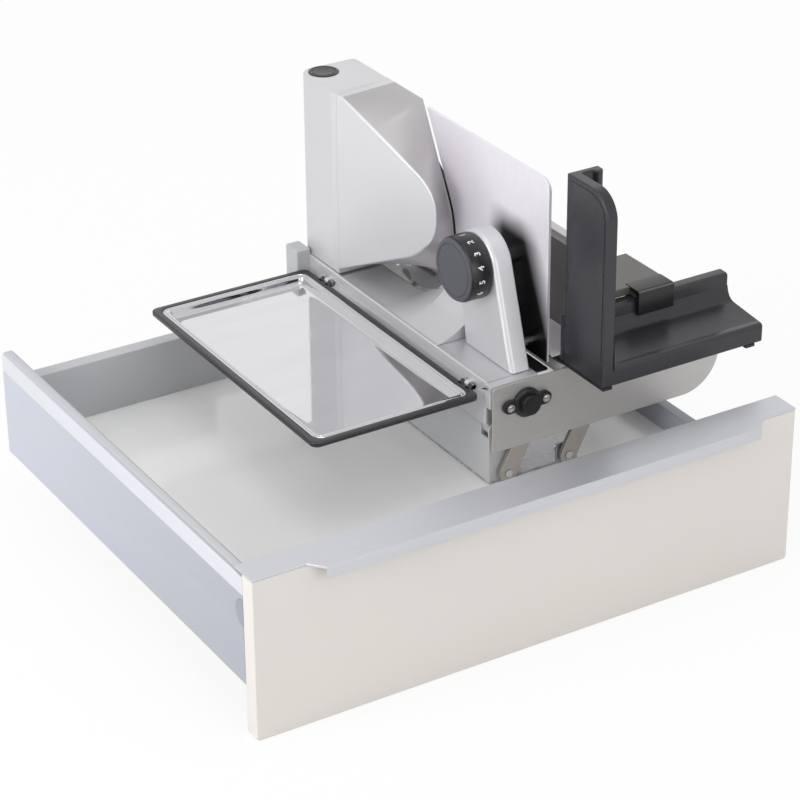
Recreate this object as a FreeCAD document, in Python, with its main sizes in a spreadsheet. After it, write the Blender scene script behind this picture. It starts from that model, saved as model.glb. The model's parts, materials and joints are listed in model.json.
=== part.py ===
"""Electric food slicer that folds down into a kitchen drawer.

The origin lies on the underside of the drawer floor, where the cabinet's runners carry it.
+X runs to the right along the drawer front, +Y runs to the back, +Z is up. Millimetres.
"""
import FreeCAD, Part
import math
import os
import Sketcher

Vector = FreeCAD.Vector
doc = FreeCAD.newDocument("FoodSlicerDrawer")
sheet = doc.addObject("Spreadsheet::Sheet", "Sizes")
nodes = []


# Sizes and the expressions that carry them


class Size:
    """A length with its number and the sheet expression that gives it."""

    def __init__(self, value, text):
        self.value = float(value)
        self.text = text

    def __add__(self, other):
        return Size(self.value + number(other), f"({self.text} + {words(other)})")

    def __radd__(self, other):
        return Size(number(other) + self.value, f"({words(other)} + {self.text})")

    def __sub__(self, other):
        return Size(self.value - number(other), f"({self.text} - {words(other)})")

    def __rsub__(self, other):
        return Size(number(other) - self.value, f"({words(other)} - {self.text})")

    def __mul__(self, other):
        return Size(self.value * number(other), f"({self.text} * {words(other)})")

    def __rmul__(self, other):
        return self * other

    def __truediv__(self, other):
        return Size(self.value / number(other), f"({self.text} / {words(other)})")

    def __neg__(self):
        return Size(-self.value, f"(0 - {self.text})")


def number(length):
    return length.value if isinstance(length, Size) else float(length)


def words(length):
    return length.text if isinstance(length, Size) else f"{length:g}"


def size(alias, value):
    """Put one driving dimension in the next row of the sheet."""
    size.row += 1
    sheet.set(f"A{size.row}", alias)
    sheet.set(f"B{size.row}", str(value))
    sheet.setAlias(f"B{size.row}", alias)
    return Size(value, f"Sizes.{alias}")


size.row = 0


def bind(thing, name, length):
    """Give a property its number, and its expression where it has one."""
    if isinstance(length, Size):
        thing.setExpression(name, length.text)


def place(thing, x, y, z, rotation=None):
    where = Vector(number(x), number(y), number(z))
    thing.Placement = FreeCAD.Placement(where, rotation or FreeCAD.Rotation())
    bind(thing, "Placement.Base.x", x)
    bind(thing, "Placement.Base.y", y)
    bind(thing, "Placement.Base.z", z)


# Shapes that the pieces are made of


def box(name, x, y, z):
    """A block between the pairs of limits x, y and z."""
    block = doc.addObject("Part::Box", name)
    for side, (low, high) in (("Length", x), ("Width", y), ("Height", z)):
        setattr(block, side, number(high) - number(low))
        bind(block, side, high - low)
    place(block, x[0], y[0], z[0])
    return block


TURNS = {
    "X": FreeCAD.Rotation(Vector(0, 1, 0), 90),
    "Y": FreeCAD.Rotation(Vector(1, 0, 0), -90),
    "Z": FreeCAD.Rotation(),
}


def spot(axis, along, centre):
    """The point at a distance along the axis, with centre across it in X, Y, Z order."""
    across, up = centre
    return {"X": (along, across, up), "Y": (across, along, up), "Z": (across, up, along)}[axis]


def rod(name, axis, ends, centre, radius):
    """A round bar along an axis."""
    bar = doc.addObject("Part::Cylinder", name)
    bar.Radius = number(radius)
    bar.Height = number(ends[1]) - number(ends[0])
    bind(bar, "Radius", radius)
    bind(bar, "Height", ends[1] - ends[0])
    place(bar, *spot(axis, ends[0], centre), TURNS[axis])
    return bar


def cone(name, axis, ends, centre, first, last):
    """A round bar whose radius goes from first to last."""
    bar = doc.addObject("Part::Cone", name)
    bar.Radius1 = number(first)
    bar.Radius2 = number(last)
    bar.Height = number(ends[1]) - number(ends[0])
    bind(bar, "Radius1", first)
    bind(bar, "Radius2", last)
    bind(bar, "Height", ends[1] - ends[0])
    place(bar, *spot(axis, ends[0], centre), TURNS[axis])
    return bar


PLANES = {"X": "YZ_Plane", "Y": "XZ_Plane", "Z": "XY_Plane"}


def prism(name, axis, ends, outline, rounds=None):
    """A sketched outline padded along an axis; rounds gives corner radii by corner number."""
    body = doc.addObject("PartDesign::Body", name)
    sketch = body.newObject("Sketcher::SketchObject", name + "_outline")
    planes = [f for f in body.Origin.OriginFeatures if f.Role == PLANES[axis]]
    sketch.AttachmentSupport = [(planes[0], "")]
    sketch.MapMode = "FlatFace"
    start = -ends[0] if axis == "Y" else ends[0]
    sketch.AttachmentOffset = FreeCAD.Placement(Vector(0, 0, number(start)), FreeCAD.Rotation())
    bind(sketch, "AttachmentOffset.Base.z", start)
    points = [Vector(number(u), number(v), 0) for u, v in outline]
    count = len(points)
    for i in range(count):
        sketch.addGeometry(Part.LineSegment(points[i], points[(i + 1) % count]))
    for i in range(count):
        sketch.addConstraint(Sketcher.Constraint("Coincident", i, 2, (i + 1) % count, 1))
    for i, (u, v) in enumerate(outline):
        for kind, length in (("DistanceX", u), ("DistanceY", v)):
            held = Sketcher.Constraint(kind, -1, 1, i, 1, number(length))
            at = sketch.addConstraint(held)
            bind(sketch, f"Constraints[{at}]", length)
    pad = body.newObject("PartDesign::Pad", name + "_pad")
    pad.Profile = sketch
    pad.Length = number(ends[1]) - number(ends[0])
    bind(pad, "Length", ends[1] - ends[0])
    pad.Reversed = axis == "Y"
    if rounds:
        round_corners(body, pad, axis, outline, rounds)
    return body


def round_corners(body, pad, axis, outline, rounds):
    """Fillet the edges of a pad that stand on the given corners of its outline."""
    doc.recompute()
    feature = pad
    for radius in sorted(set(number(r) for r in rounds.values())):
        corners = [i for i, r in rounds.items() if number(r) == radius]
        edges = []
        for i in corners:
            u, v = (number(c) for c in outline[i])
            for n, edge in enumerate(feature.Shape.Edges, 1):
                ends = [pair(axis, vertex.Point) for vertex in edge.Vertexes]
                if len(ends) == 2 and all(math.dist(e, (u, v)) < 0.01 for e in ends):
                    edges.append(f"Edge{n}")
        fillet = body.newObject("PartDesign::Fillet", f"{body.Name}_round_{corners[0]}")
        fillet.Base = (feature, edges)
        fillet.Radius = radius
        bind(fillet, "Radius", rounds[corners[0]])
        doc.recompute()
        feature = fillet


def pair(axis, point):
    return {"X": (point.y, point.z), "Y": (point.x, point.z), "Z": (point.x, point.y)}[axis]


def cut(name, base, *tools):
    result = doc.addObject("Part::Cut", name)
    result.Base = base
    result.Tool = tools[0] if len(tools) == 1 else fuse(name + "_tools", *tools)
    return result


def fuse(name, *pieces):
    result = doc.addObject("Part::MultiFuse", name)
    result.Shapes = list(pieces)
    return result


def common(name, *pieces):
    result = doc.addObject("Part::MultiCommon", name)
    result.Shapes = list(pieces)
    return result


def group(name, *pieces):
    """Like pieces that stay separate solids of one node."""
    result = doc.addObject("Part::Compound", name)
    result.Links = list(pieces)
    return result


def feature(name, shape):
    """A shape that is worked out from the sheet's values in this file."""
    result = doc.addObject("Part::Feature", name)
    result.Shape = shape
    result.Placement = FreeCAD.Placement()
    return result


def node(name, thing):
    """Register a finished sub-part under the name of its file."""
    thing.Label = name
    nodes.append(thing)
    return thing


def from_axis(axis, along, u, v):
    return Vector(*(number(c) for c in spot(axis, along, (u, v))))


# Drawer

front_width = size("front_width", 596)
front_thickness = size("front_thickness", 18)
front_setback = size("front_setback", 258)
front_drop = size("front_drop", 67)
front_rise = size("front_rise", 102)
front_corner = size("front_corner", 4)
strip_gauge = size("strip_gauge", 2.5)
strip_depth = size("strip_depth", 31)
strip_leg = size("strip_leg", 12.5)
lip_reach = size("lip_reach", 15)
lip_flare = size("lip_flare", 12)
lip_start = size("lip_start", 67)
lip_stop = size("lip_stop", 52)
side_thickness = size("side_thickness", 14)
side_length = size("side_length", 506)
side_drop = size("side_drop", 16)
left_side_rise = size("left_side_rise", 97)
right_side_rise = size("right_side_rise", 40)
side_round = size("side_round", 5)
side_skin = size("side_skin", 1.5)
side_plug = size("side_plug", 20)
right_side_inset = size("right_side_inset", 24)
floor_thickness = size("floor_thickness", 16)
back_setback = size("back_setback", 16)
back_thickness = size("back_thickness", 16)
back_rise = size("back_rise", 77)
back_notch_half = size("back_notch_half", 75)
back_notch_rise = size("back_notch_rise", 36)
cover_radius = size("cover_radius", 14)
cover_depth = size("cover_depth", 3)
cover_rise = size("cover_rise", 58)
angle_gauge = size("angle_gauge", 2.5)
angle_leg = size("angle_leg", 25)
left_angle_rise = size("left_angle_rise", 60)
right_angle_rise = size("right_angle_rise", 36)
clip_width = size("clip_width", 40)
clip_length = size("clip_length", 60)
clip_height = size("clip_height", 14)
clip_inset = size("clip_inset", 4)
hook_bore = size("hook_bore", 3)
hook_bore_depth = size("hook_bore_depth", 12)
hook_bore_inset = size("hook_bore_inset", 22)

front_face = -front_setback
panel_back = front_face + front_thickness
side_end = panel_back + side_length
left_outer = -(front_width / 2)
left_inner = left_outer + side_thickness
right_outer = front_width / 2 - right_side_inset
right_inner = right_outer - side_thickness
back_outer = side_end - back_setback
back_inner = back_outer - back_thickness
floor_top = floor_thickness


def drawer_front():
    """The front panel, with the metal handle strip laid over its top edge."""
    half = front_width / 2
    top = front_rise - strip_gauge
    low = -front_drop
    outline = [(-half, low), (half, low), (half, top), (-half, top)]
    corners = {0: front_corner, 1: front_corner}
    node("drawer_front_panel", prism("panel", "Y", (front_face, panel_back), outline, corners))

    lip_face = front_face - lip_reach
    lip_left = lip_start - half
    lip_right = half - lip_stop
    thin = (top, front_rise)
    leg = (front_rise - strip_leg, front_rise)
    strip_back = front_face + strip_depth
    plate = box("strip_plate", (-half, half), (front_face, strip_back), thin)
    lip = prism("strip_lip", "Z", thin, [
        (lip_left - lip_flare, front_face), (lip_left, lip_face),
        (lip_right, lip_face), (lip_right + lip_flare, front_face),
    ])
    nose = box("strip_nose", (lip_left, lip_right), (lip_face, lip_face + strip_gauge), leg)
    tail = box("strip_tail", (left_inner, half), (strip_back - strip_gauge, strip_back), leg)
    node("front_handle_strip", fuse("handle_strip", plate, lip, nose, tail))


def drawer_sides():
    """The tall left side and the low right side."""
    left = prism("side_left", "Y", (panel_back, side_end), [
        (left_outer, -side_drop), (left_inner, -side_drop),
        (left_inner, left_side_rise), (left_outer, left_side_rise),
    ], {2: side_round, 3: side_round})
    pocket_x = (left_outer, left_outer + cover_depth)
    pocket = rod("cover_pocket", "X", pocket_x, (panel_back, cover_rise), cover_radius)
    hollow_y = (panel_back + side_plug, side_end - side_skin)
    left_room = box("side_left_room", (left_outer + side_skin, left_inner - side_skin), hollow_y,
                    (-side_drop, left_side_rise - side_round))
    node("drawer_side_left", cut("side_left_cut", left, pocket, left_room))
    right = prism("side_right", "Y", (panel_back, side_end), [
        (right_inner, -side_drop), (right_outer, -side_drop),
        (right_outer, right_side_rise), (right_inner, right_side_rise),
    ], {2: side_round / 2, 3: side_round / 2})
    right_room = box("side_right_room", (right_inner + side_skin, right_outer - side_skin), hollow_y,
                     (-side_drop, right_side_rise - side_round))
    node("drawer_side_right", cut("side_right_cut", right, right_room))
    whole = rod("cover_disc", "X", pocket_x, (panel_back, cover_rise), cover_radius)
    half = box("cover_half", pocket_x, (panel_back, panel_back + cover_radius),
               (cover_rise - cover_radius, cover_rise + cover_radius))
    node("front_fixing_cover", common("cover_cap", whole, half))


def drawer_floor():
    """The floor panel with the rear bores for the runner hooks, and the back panel."""
    width = (left_inner, right_inner)
    board = box("floor_board", width, (panel_back, back_outer), (floor_top * 0, floor_top))
    bores = []
    for side, x in (("left", left_inner + hook_bore_inset), ("right", right_inner - hook_bore_inset)):
        depth = (back_outer - hook_bore_depth, back_outer)
        bores.append(rod(f"hook_bore_{side}", "Y", depth, (x, floor_top / 2), hook_bore))
    for i, (x, y) in enumerate(base_screw_places()):
        reach = (floor_top - screw_reach, floor_top)
        bores.append(rod(f"floor_pilot_{i}", "Z", reach, (x, y), screw_radius + screw_play))
    node("drawer_floor_panel", cut("floor", board, *bores))
    node("drawer_back_panel", prism("back", "Y", (back_inner, back_outer), [
        (left_inner, floor_top), (right_inner, floor_top),
        (right_inner, back_rise), (back_notch_half, back_rise),
        (back_notch_half, back_notch_rise), (-back_notch_half, back_notch_rise),
        (-back_notch_half, back_rise), (left_inner, back_rise),
    ]))


def front_angles():
    """The two angle plates that hold the sides to the front panel."""
    inner = panel_back + angle_gauge
    pieces = []
    for side, wall, inward, rise in (
        ("left", left_inner, 1, left_angle_rise), ("right", right_inner, -1, right_angle_rise)
    ):
        thin = sorted_pair(wall, wall + angle_gauge * inward)
        wide = sorted_pair(wall, wall + angle_leg * inward)
        height = (floor_top, rise)
        along = box(f"angle_{side}_along", thin, (panel_back, panel_back + angle_leg), height)
        across = box(f"angle_{side}_across", wide, (panel_back, inner), height)
        pieces.append(fuse(f"angle_{side}", along, across))
    node("front_angle_plates", group("angle_plates", *pieces))


def sorted_pair(a, b):
    return (a, b) if number(a) < number(b) else (b, a)


def runner_clips():
    """The two catches under the floor that lock the drawer to its runners."""
    pieces = []
    for side, x in (("left", left_inner + clip_inset), ("right", right_inner - clip_inset - clip_width)):
        base = (x, x + clip_width)
        block = box(f"clip_{side}_block", base, (panel_back, panel_back + clip_length),
                    (-clip_height, clip_height * 0))
        channel = box(f"clip_{side}_channel", (x + clip_width / 4, x + clip_width * 3 / 4),
                      (panel_back + clip_length / 3, panel_back + clip_length),
                      (-clip_height, -(clip_height / 3)))
        pieces.append(cut(f"clip_{side}", block, channel))
    node("runner_clips", group("clips", *pieces))


# Base on the drawer floor, and the fold's linkage

fold_x = size("fold_x", 56.5)
fold_z = size("fold_z", 75)
arm_run = size("arm_run", 21.65)
arm_rise = size("arm_rise", 42.9)
arm_left_x = size("arm_left_x", 67.3)
arm_right_x = size("arm_right_x", 138.5)
arm_foot_z = size("arm_foot_z", 27)
arm_half_width = size("arm_half_width", 9.7)
arm_thickness = size("arm_thickness", 5)
arm_gap = size("arm_gap", 1.5)
stud_radius = size("stud_radius", 4)
pin_radius = size("pin_radius", 3)
pin_play = size("pin_play", 0.06)
open_play = size("open_play", 0.3)
unit_back_reach = size("unit_back_reach", 4)
unit_overhang = size("unit_overhang", 54)
pedestal_width = size("pedestal_width", 38)
pedestal_length = size("pedestal_length", 301)
pedestal_wall = size("pedestal_wall", 2.5)
pedestal_round = size("pedestal_round", 7.5)
knuckle_radius = size("knuckle_radius", 6.5)
knuckle_length = size("knuckle_length", 11)
knuckle_gap = size("knuckle_gap", 0.5)
base_gauge = size("base_gauge", 2.5)
base_width = size("base_width", 105)
ear_height = size("ear_height", 22)
arm_space = size("arm_space", 2.5)
deck_gauge = size("deck_gauge", 2)
screw_radius = size("screw_radius", 2)
screw_play = size("screw_play", 0.05)
screw_reach = size("screw_reach", 12)
screw_head = size("screw_head", 4)
screw_head_height = size("screw_head_height", 2)
screw_row_near = size("screw_row_near", 8)
screw_end_gap = size("screw_end_gap", 22)

unit_back = back_outer + unit_back_reach
pedestal_back = unit_back - unit_overhang
unit_face = pedestal_back - pedestal_length
pedestal_left = fold_x - pedestal_round
pedestal_right = pedestal_left + pedestal_width
pedestal_top = fold_z + pedestal_round
base_top = floor_top + base_gauge
base_back = pedestal_back + base_gauge
base_right = pedestal_left + base_width
front_arm_back = unit_face - arm_space
front_arm_face = front_arm_back - arm_thickness
deck_front_inner = front_arm_face - arm_gap
deck_front_outer = deck_front_inner - deck_gauge
rear_arm_face = base_back + arm_gap
rear_arm_back = rear_arm_face + arm_thickness
deck_rear_inner = rear_arm_back + arm_space
deck_rear_outer = deck_rear_inner + deck_gauge
level_x = fold_x + arm_run
level_z = fold_z + arm_rise
left_foot = (arm_left_x, arm_foot_z)
right_foot = (arm_right_x, arm_foot_z)
left_head = (arm_left_x + arm_run, arm_foot_z + arm_rise)
right_head = (arm_right_x + arm_run, arm_foot_z + arm_rise)
fold_axis = (fold_x, fold_z)
level_axis = (level_x, level_z)
front_knuckle = (unit_face + pedestal_wall + knuckle_gap,
                 unit_face + pedestal_wall + knuckle_gap + knuckle_length)
rear_knuckle = (pedestal_back - pedestal_wall - knuckle_gap - knuckle_length,
                pedestal_back - pedestal_wall - knuckle_gap)


def base_screw_places():
    """The six screws of the base plate, in two columns clear of the pedestal."""
    columns = (pedestal_right + screw_row_near, base_right - screw_row_near)
    rows = (unit_face + screw_end_gap, (unit_face + base_back) / 2, base_back - screw_end_gap)
    return [(x, y) for x in columns for y in rows]


def base_plate():
    """The steel plate on the drawer floor, with an ear at each end for the right arms."""
    flat = box("base_flat", (pedestal_left, base_right), (unit_face, base_back), (floor_top, base_top))
    ear_x = (arm_right_x - arm_half_width, arm_right_x + arm_half_width)
    ear_z = (floor_top, floor_top + ear_height)
    front_ear = box("base_ear_front", ear_x, (unit_face, unit_face + base_gauge), ear_z)
    rear_ear = box("base_ear_rear", ear_x, (base_back - base_gauge, base_back), ear_z)
    holes = [
        rod(f"base_hole_{i}", "Z", (floor_top, base_top), (x, y), screw_radius + screw_play)
        for i, (x, y) in enumerate(base_screw_places())
    ]
    holes += [
        rod("base_ear_front_hole", "Y", (unit_face, unit_face + base_gauge), right_foot, stud_radius),
        rod("base_ear_rear_hole", "Y", (base_back - base_gauge, base_back), right_foot, stud_radius),
    ]
    node("floor_base_plate", cut("base_plate", fuse("base_blank", flat, front_ear, rear_ear), *holes))

    screws = []
    for i, (x, y) in enumerate(base_screw_places()):
        shank = rod(f"base_screw_{i}_shank", "Z", (floor_top - screw_reach, base_top), (x, y),
                    screw_radius)
        head = rod(f"base_screw_{i}_head", "Z", (base_top, base_top + screw_head_height), (x, y),
                   screw_head)
        screws.append(fuse(f"base_screw_{i}", shank, head))
    node("base_plate_screws", group("base_screws", *screws))


def hinge_pedestal():
    """The sheet box that stands on the base plate and carries the fold's hinge pins."""
    shell = prism("pedestal_shell", "Y", (unit_face, pedestal_back), [
        (pedestal_left, base_top), (pedestal_right, base_top),
        (pedestal_right, pedestal_top), (pedestal_left, pedestal_top),
    ], {2: pedestal_round / 2, 3: pedestal_round})
    inside_x = (pedestal_left + pedestal_wall, pedestal_right - pedestal_wall)
    inside_z = (base_top, pedestal_top - pedestal_wall)
    front_rib = front_knuckle[1] + knuckle_gap
    rear_rib = rear_knuckle[0] - knuckle_gap
    rooms = (
        (unit_face + pedestal_wall, front_rib),
        (front_rib + pedestal_wall, rear_rib - pedestal_wall),
        (rear_rib, pedestal_back - pedestal_wall),
    )
    tools = [box(f"pedestal_room_{i}", inside_x, room, inside_z) for i, room in enumerate(rooms)]
    mouth_x = (pedestal_left, fold_x + knuckle_radius + knuckle_gap * 4)
    mouth_z = (fold_z - knuckle_radius - knuckle_gap * 4, pedestal_top)
    for name, room in (("front", rooms[0]), ("rear", rooms[2])):
        tools.append(box(f"pedestal_mouth_{name}", mouth_x, room, mouth_z))
    front_pin = (unit_face, front_rib + pedestal_wall)
    rear_pin = (rear_rib - pedestal_wall, pedestal_back)
    for name, ends in (("front", front_pin), ("rear", rear_pin)):
        tools.append(rod(f"pedestal_bore_{name}", "Y", ends, fold_axis, pin_radius))
    front_wall = (unit_face, unit_face + pedestal_wall)
    rear_wall = (pedestal_back - pedestal_wall, pedestal_back)
    for name, ends in (("front", front_wall), ("rear", rear_wall)):
        tools.append(rod(f"pedestal_stud_bore_{name}", "Y", ends, left_foot, stud_radius))
    node("hinge_pedestal", cut("pedestal", shell, *tools))

    pins = [rod(f"fold_pin_{name}", "Y", ends, fold_axis, pin_radius)
            for name, ends in (("front", front_pin), ("rear", rear_pin))]
    node("fold_hinge_pins", group("fold_pins", *pins))

    front_tip = front_arm_face - arm_gap / 2
    rear_tip = rear_arm_back + arm_gap / 2
    studs = [
        rod("foot_stud_front_left", "Y", (front_tip, unit_face + pedestal_wall), left_foot, stud_radius),
        rod("foot_stud_front_right", "Y", (front_tip, unit_face + base_gauge), right_foot, stud_radius),
        rod("foot_stud_rear_left", "Y", (pedestal_back - pedestal_wall, rear_tip), left_foot,
            stud_radius),
        rod("foot_stud_rear_right", "Y", (base_back - base_gauge, rear_tip), right_foot, stud_radius),
    ]
    node("arm_foot_studs", group("foot_studs", *studs))


def swing_arms():
    """The two pairs of flat arms that keep the deck level while the slicer folds."""
    length = Size(math.hypot(number(arm_run), number(arm_rise)),
                  f"sqrt({arm_run.text} ^ 2 + {arm_rise.text} ^ 2)")
    for side, foot, head in (("left", left_foot, left_head), ("right", right_foot, right_head)):
        pair_of_arms = []
        for end, ends in (("front", (front_arm_face, front_arm_back)),
                          ("rear", (rear_arm_face, rear_arm_back))):
            name = f"arm_{side}_{end}"
            lower = rod(name + "_lower", "Y", ends, foot, arm_half_width)
            upper = rod(name + "_upper", "Y", ends, head, arm_half_width)
            bar = feature(name + "_bar", arm_bar(foot, head, ends, number(length)))
            bores = (
                rod(name + "_foot_bore", "Y", ends, foot, stud_radius + pin_play),
                rod(name + "_head_bore", "Y", ends, head, stud_radius + open_play),
            )
            pair_of_arms.append(cut(name, fuse(name + "_blank", lower, upper, bar), *bores))
        node(f"swing_arms_{side}", group(f"arms_{side}", *pair_of_arms))


def arm_bar(foot, head, ends, length):
    """The straight middle of an arm, between its two pivots."""
    low = from_axis("Y", ends[0], *foot)
    high = from_axis("Y", ends[0], *head)
    side = Vector(high.z - low.z, 0, low.x - high.x) * (number(arm_half_width) / length)
    corners = [low - side, low + side, high + side, high - side]
    face = Part.Face(Part.makePolygon(corners + corners[:1]))
    return face.extrude(Vector(0, number(ends[1]) - number(ends[0]), 0))


# Slicer unit: casting, housing and what they hold

casting_left = size("casting_left", 44)
casting_right = size("casting_right", 99)
casting_gap = size("casting_gap", 1.5)
casting_wall = size("casting_wall", 4)
casting_top = size("casting_top", 129)
rim_width = size("rim_width", 3)
rim_top = size("rim_top", 131)
rim_round = size("rim_round", 1.2)
casting_corner = size("casting_corner", 3)
front_block = size("front_block", 13)
hinge_block = size("hinge_block", 29)
lug_radius = size("lug_radius", 7)
lug_play = size("lug_play", 2)
lock_x = size("lock_x", 83.9)
lock_z = size("lock_z", 103.8)
lock_stem = size("lock_stem", 5)
lock_hole_depth = size("lock_hole_depth", 8)
cover_gauge = size("cover_gauge", 2)
hang_x = size("hang_x", 40.5)
hang_z = size("hang_z", 120)
hang_pin = size("hang_pin", 2)
hang_ear = size("hang_ear", 3.2)
hang_ear_width = size("hang_ear_width", 6)
hang_inset = size("hang_inset", 21)
hang_ear_back = size("hang_ear_back", 10)
arm_slot_rise = size("arm_slot_rise", 29)
mains_left = size("mains_left", 31)
mains_depth = size("mains_depth", 26)
mains_low = size("mains_low", 107)
mains_high = size("mains_high", 147)
mains_overlap = size("mains_overlap", 8)
supply_width = size("supply_width", 36)
supply_length = size("supply_length", 90)
supply_height = size("supply_height", 24)

casting_base = pedestal_top + casting_gap
ceiling = casting_top - casting_wall
cavity_x = (casting_left + casting_wall, casting_right - casting_wall)
block_end = rear_knuckle[1] + hinge_block
front_cavity = (unit_face + front_block, rear_knuckle[0])
rear_cavity = (block_end, unit_back - casting_wall)
hang_axis = (hang_x, hang_z)
front_ear_y = (unit_face + hang_inset, unit_face + hang_inset + hang_ear_width)
rear_ear_y = (pedestal_back - hang_ear_back, pedestal_back - hang_ear_back + hang_ear_width)


def base_casting():
    """The die-cast base of the slicer unit, with its knuckles and the tray's ears."""
    width = (casting_left, casting_right)
    length = (unit_face, unit_back)
    main = prism("casting_main", "Z", (casting_base, casting_top), [
        (casting_left, unit_face), (casting_right, unit_face),
        (casting_right, unit_back), (casting_left, unit_back),
    ], {0: casting_corner, 3: casting_corner})
    rim = prism("casting_rim", "Y", length, [
        (casting_left, ceiling), (casting_left + rim_width, ceiling),
        (casting_left + rim_width, rim_top), (casting_left, rim_top),
    ], {3: rim_round})
    adds = [main, rim]
    for name, ends in (("front", front_knuckle), ("rear", rear_knuckle)):
        adds.append(rod(f"knuckle_{name}", "Y", ends, fold_axis, knuckle_radius))
        neck = (fold_x - knuckle_radius, fold_x + knuckle_radius)
        adds.append(box(f"knuckle_neck_{name}", neck, ends, (fold_z, casting_base + casting_wall)))
    for name, ends in (("front", front_ear_y), ("rear", rear_ear_y)):
        adds.append(rod(f"hang_ear_{name}", "Y", ends, hang_axis, hang_ear))
        adds.append(box(f"hang_neck_{name}", (hang_x, casting_left + casting_wall), ends,
                        (hang_z - hang_ear, hang_z + hang_ear)))
    cuts = [
        box("casting_front_cavity", cavity_x, front_cavity, (casting_base, ceiling)),
        box("casting_rear_cavity", cavity_x, rear_cavity, (casting_base, ceiling)),
        box("casting_lug_slot", (level_x - lug_radius - lug_play, casting_right),
            (deck_rear_inner - lug_play, deck_rear_outer + lug_play * 2),
            (casting_base, level_z + lug_radius + lug_play / 4)),
        box("casting_arm_slot", width, (rear_arm_face - arm_gap, deck_rear_inner + arm_gap),
            (casting_base, casting_base + arm_slot_rise)),
        rod("casting_level_bore", "Y", (unit_face, unit_face + level_bore_depth), level_axis,
            pin_radius + pin_play),
        rod("casting_rear_pin_bore", "Y", rear_pin_y, level_axis, pin_radius),
        rod("casting_lock_hole", "Y", (unit_face, unit_face + lock_hole_depth), (lock_x, lock_z),
            lock_stem + open_play),
    ]
    for name, ends in (("front", front_knuckle), ("rear", rear_knuckle)):
        cuts.append(rod(f"knuckle_bore_{name}", "Y", ends, fold_axis, pin_radius + pin_play))
    for name, ends in (("front", front_ear_y), ("rear", rear_ear_y)):
        cuts.append(rod(f"hang_bore_{name}", "Y", ends, hang_axis, hang_pin + pin_play))
    node("base_casting", cut("casting", fuse("casting_blank", *adds), *cuts))
    node("rear_level_pin", rod("rear_pin", "Y", rear_pin_y, level_axis, pin_radius))
    node("casting_bottom_cover", box("bottom_cover", cavity_x, front_cavity,
                                     (casting_base, casting_base + cover_gauge)))
    supply_x = (cavity_x[0] + casting_wall, cavity_x[0] + casting_wall + supply_width)
    supply_y = (unit_face + front_block * 3, unit_face + front_block * 3 + supply_length)
    node("power_supply", box("supply", supply_x, supply_y, (ceiling - supply_height, ceiling)))
    mains_y = (unit_back + mains_overlap - mains_depth, unit_back + mains_overlap)
    inner = box("mains_side", (mains_left, casting_left), mains_y, (mains_low, mains_high))
    over = box("mains_over", (casting_left, casting_left + rim_width), (mains_y[0], unit_back),
               (rim_top, mains_high))
    node("mains_box", fuse("mains", inner, over))


level_bore_depth = size("level_bore_depth", 11)
rear_pin_reach = size("rear_pin_reach", 8)
rear_pin_y = (deck_rear_inner - rear_pin_reach, deck_rear_outer + rear_pin_reach)

# Motor housing, blade and drive

axis_inset = size("axis_inset", 108)
axis_z = size("axis_z", 202)
housing_left = size("housing_left", 47)
housing_right = size("housing_right", 112)
housing_top = size("housing_top", 332)
housing_wall = size("housing_wall", 4)
housing_corner = size("housing_corner", 6)
block_length = size("block_length", 72)
plateau_slope = size("plateau_slope", 0.232)
shoulder_x = size("shoulder_x", 96)
housing_step = size("housing_step", 1)
blade_side_front = size("blade_side_front", 26)
nose_upper_run = size("nose_upper_run", 81)
nose_upper_rise = size("nose_upper_rise", 83)
nose_tip_run = size("nose_tip_run", 106)
nose_tip_rise = size("nose_tip_rise", 45)
nose_lower_run = size("nose_lower_run", 77)
nose_lower_drop = size("nose_lower_drop", 11)
plateau_run = size("plateau_run", 10)
plateau_drop = size("plateau_drop", 2)
plate_left = size("plate_left", 98)
plate_gauge = size("plate_gauge", 3)
plate_radius = size("plate_radius", 56)
blade_radius = size("blade_radius", 85)
blade_left = size("blade_left", 113.5)
blade_gauge = size("blade_gauge", 2.5)
blade_bevel = size("blade_bevel", 12)
blade_edge = size("blade_edge", 0.4)
axle_radius = size("axle_radius", 5)
axle_start = size("axle_start", 79)
bush_radius = size("bush_radius", 8)
bush_start = size("bush_start", 78)
hub_radius = size("hub_radius", 12)
blade_nut_radius = size("blade_nut_radius", 14)
blade_nut_gauge = size("blade_nut_gauge", 1.8)
gear_module = size("gear_module", 1.25)
wheel_teeth = size("wheel_teeth", 60)
pinion_teeth = size("pinion_teeth", 12)
gear_left = size("gear_left", 103)
gear_width = size("gear_width", 6)
motor_radius = size("motor_radius", 23)
motor_length = size("motor_length", 38)
motor_play = size("motor_play", 2)
shaft_radius = size("shaft_radius", 3)
shaft_start = size("shaft_start", 62)
button_x = size("button_x", 64.5)
button_inset = size("button_inset", 18)
bezel_radius = size("bezel_radius", 14.5)
bezel_proud = size("bezel_proud", 1)
bezel_seat = size("bezel_seat", 2)
bezel_bore = size("bezel_bore", 11.5)
bezel_wall = size("bezel_wall", 1)
bezel_depth = size("bezel_depth", 19)
button_radius = size("button_radius", 11.2)
button_height = size("button_height", 6)
button_dip = size("button_dip", 1)
button_travel = size("button_travel", 3)
stem_radius = size("stem_radius", 3)
stem_reach = size("stem_reach", 16)
return_sleeve = size("return_sleeve", 7)
switch_width = size("switch_width", 12)
switch_height = size("switch_height", 10)
board_height = size("board_height", 40)
board_low = size("board_low", 250)

axis_y = unit_back - axis_inset
button_y = unit_back - button_inset
plateau_start = unit_back - block_length
housing_radius = blade_radius - housing_step
blade_axis = (axis_y, axis_z)
blade_right = blade_left + blade_gauge
gear_distance = gear_module * (wheel_teeth + pinion_teeth) / 2
motor_axis = (axis_y + gear_distance, axis_z)
inside_right = plate_left


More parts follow.
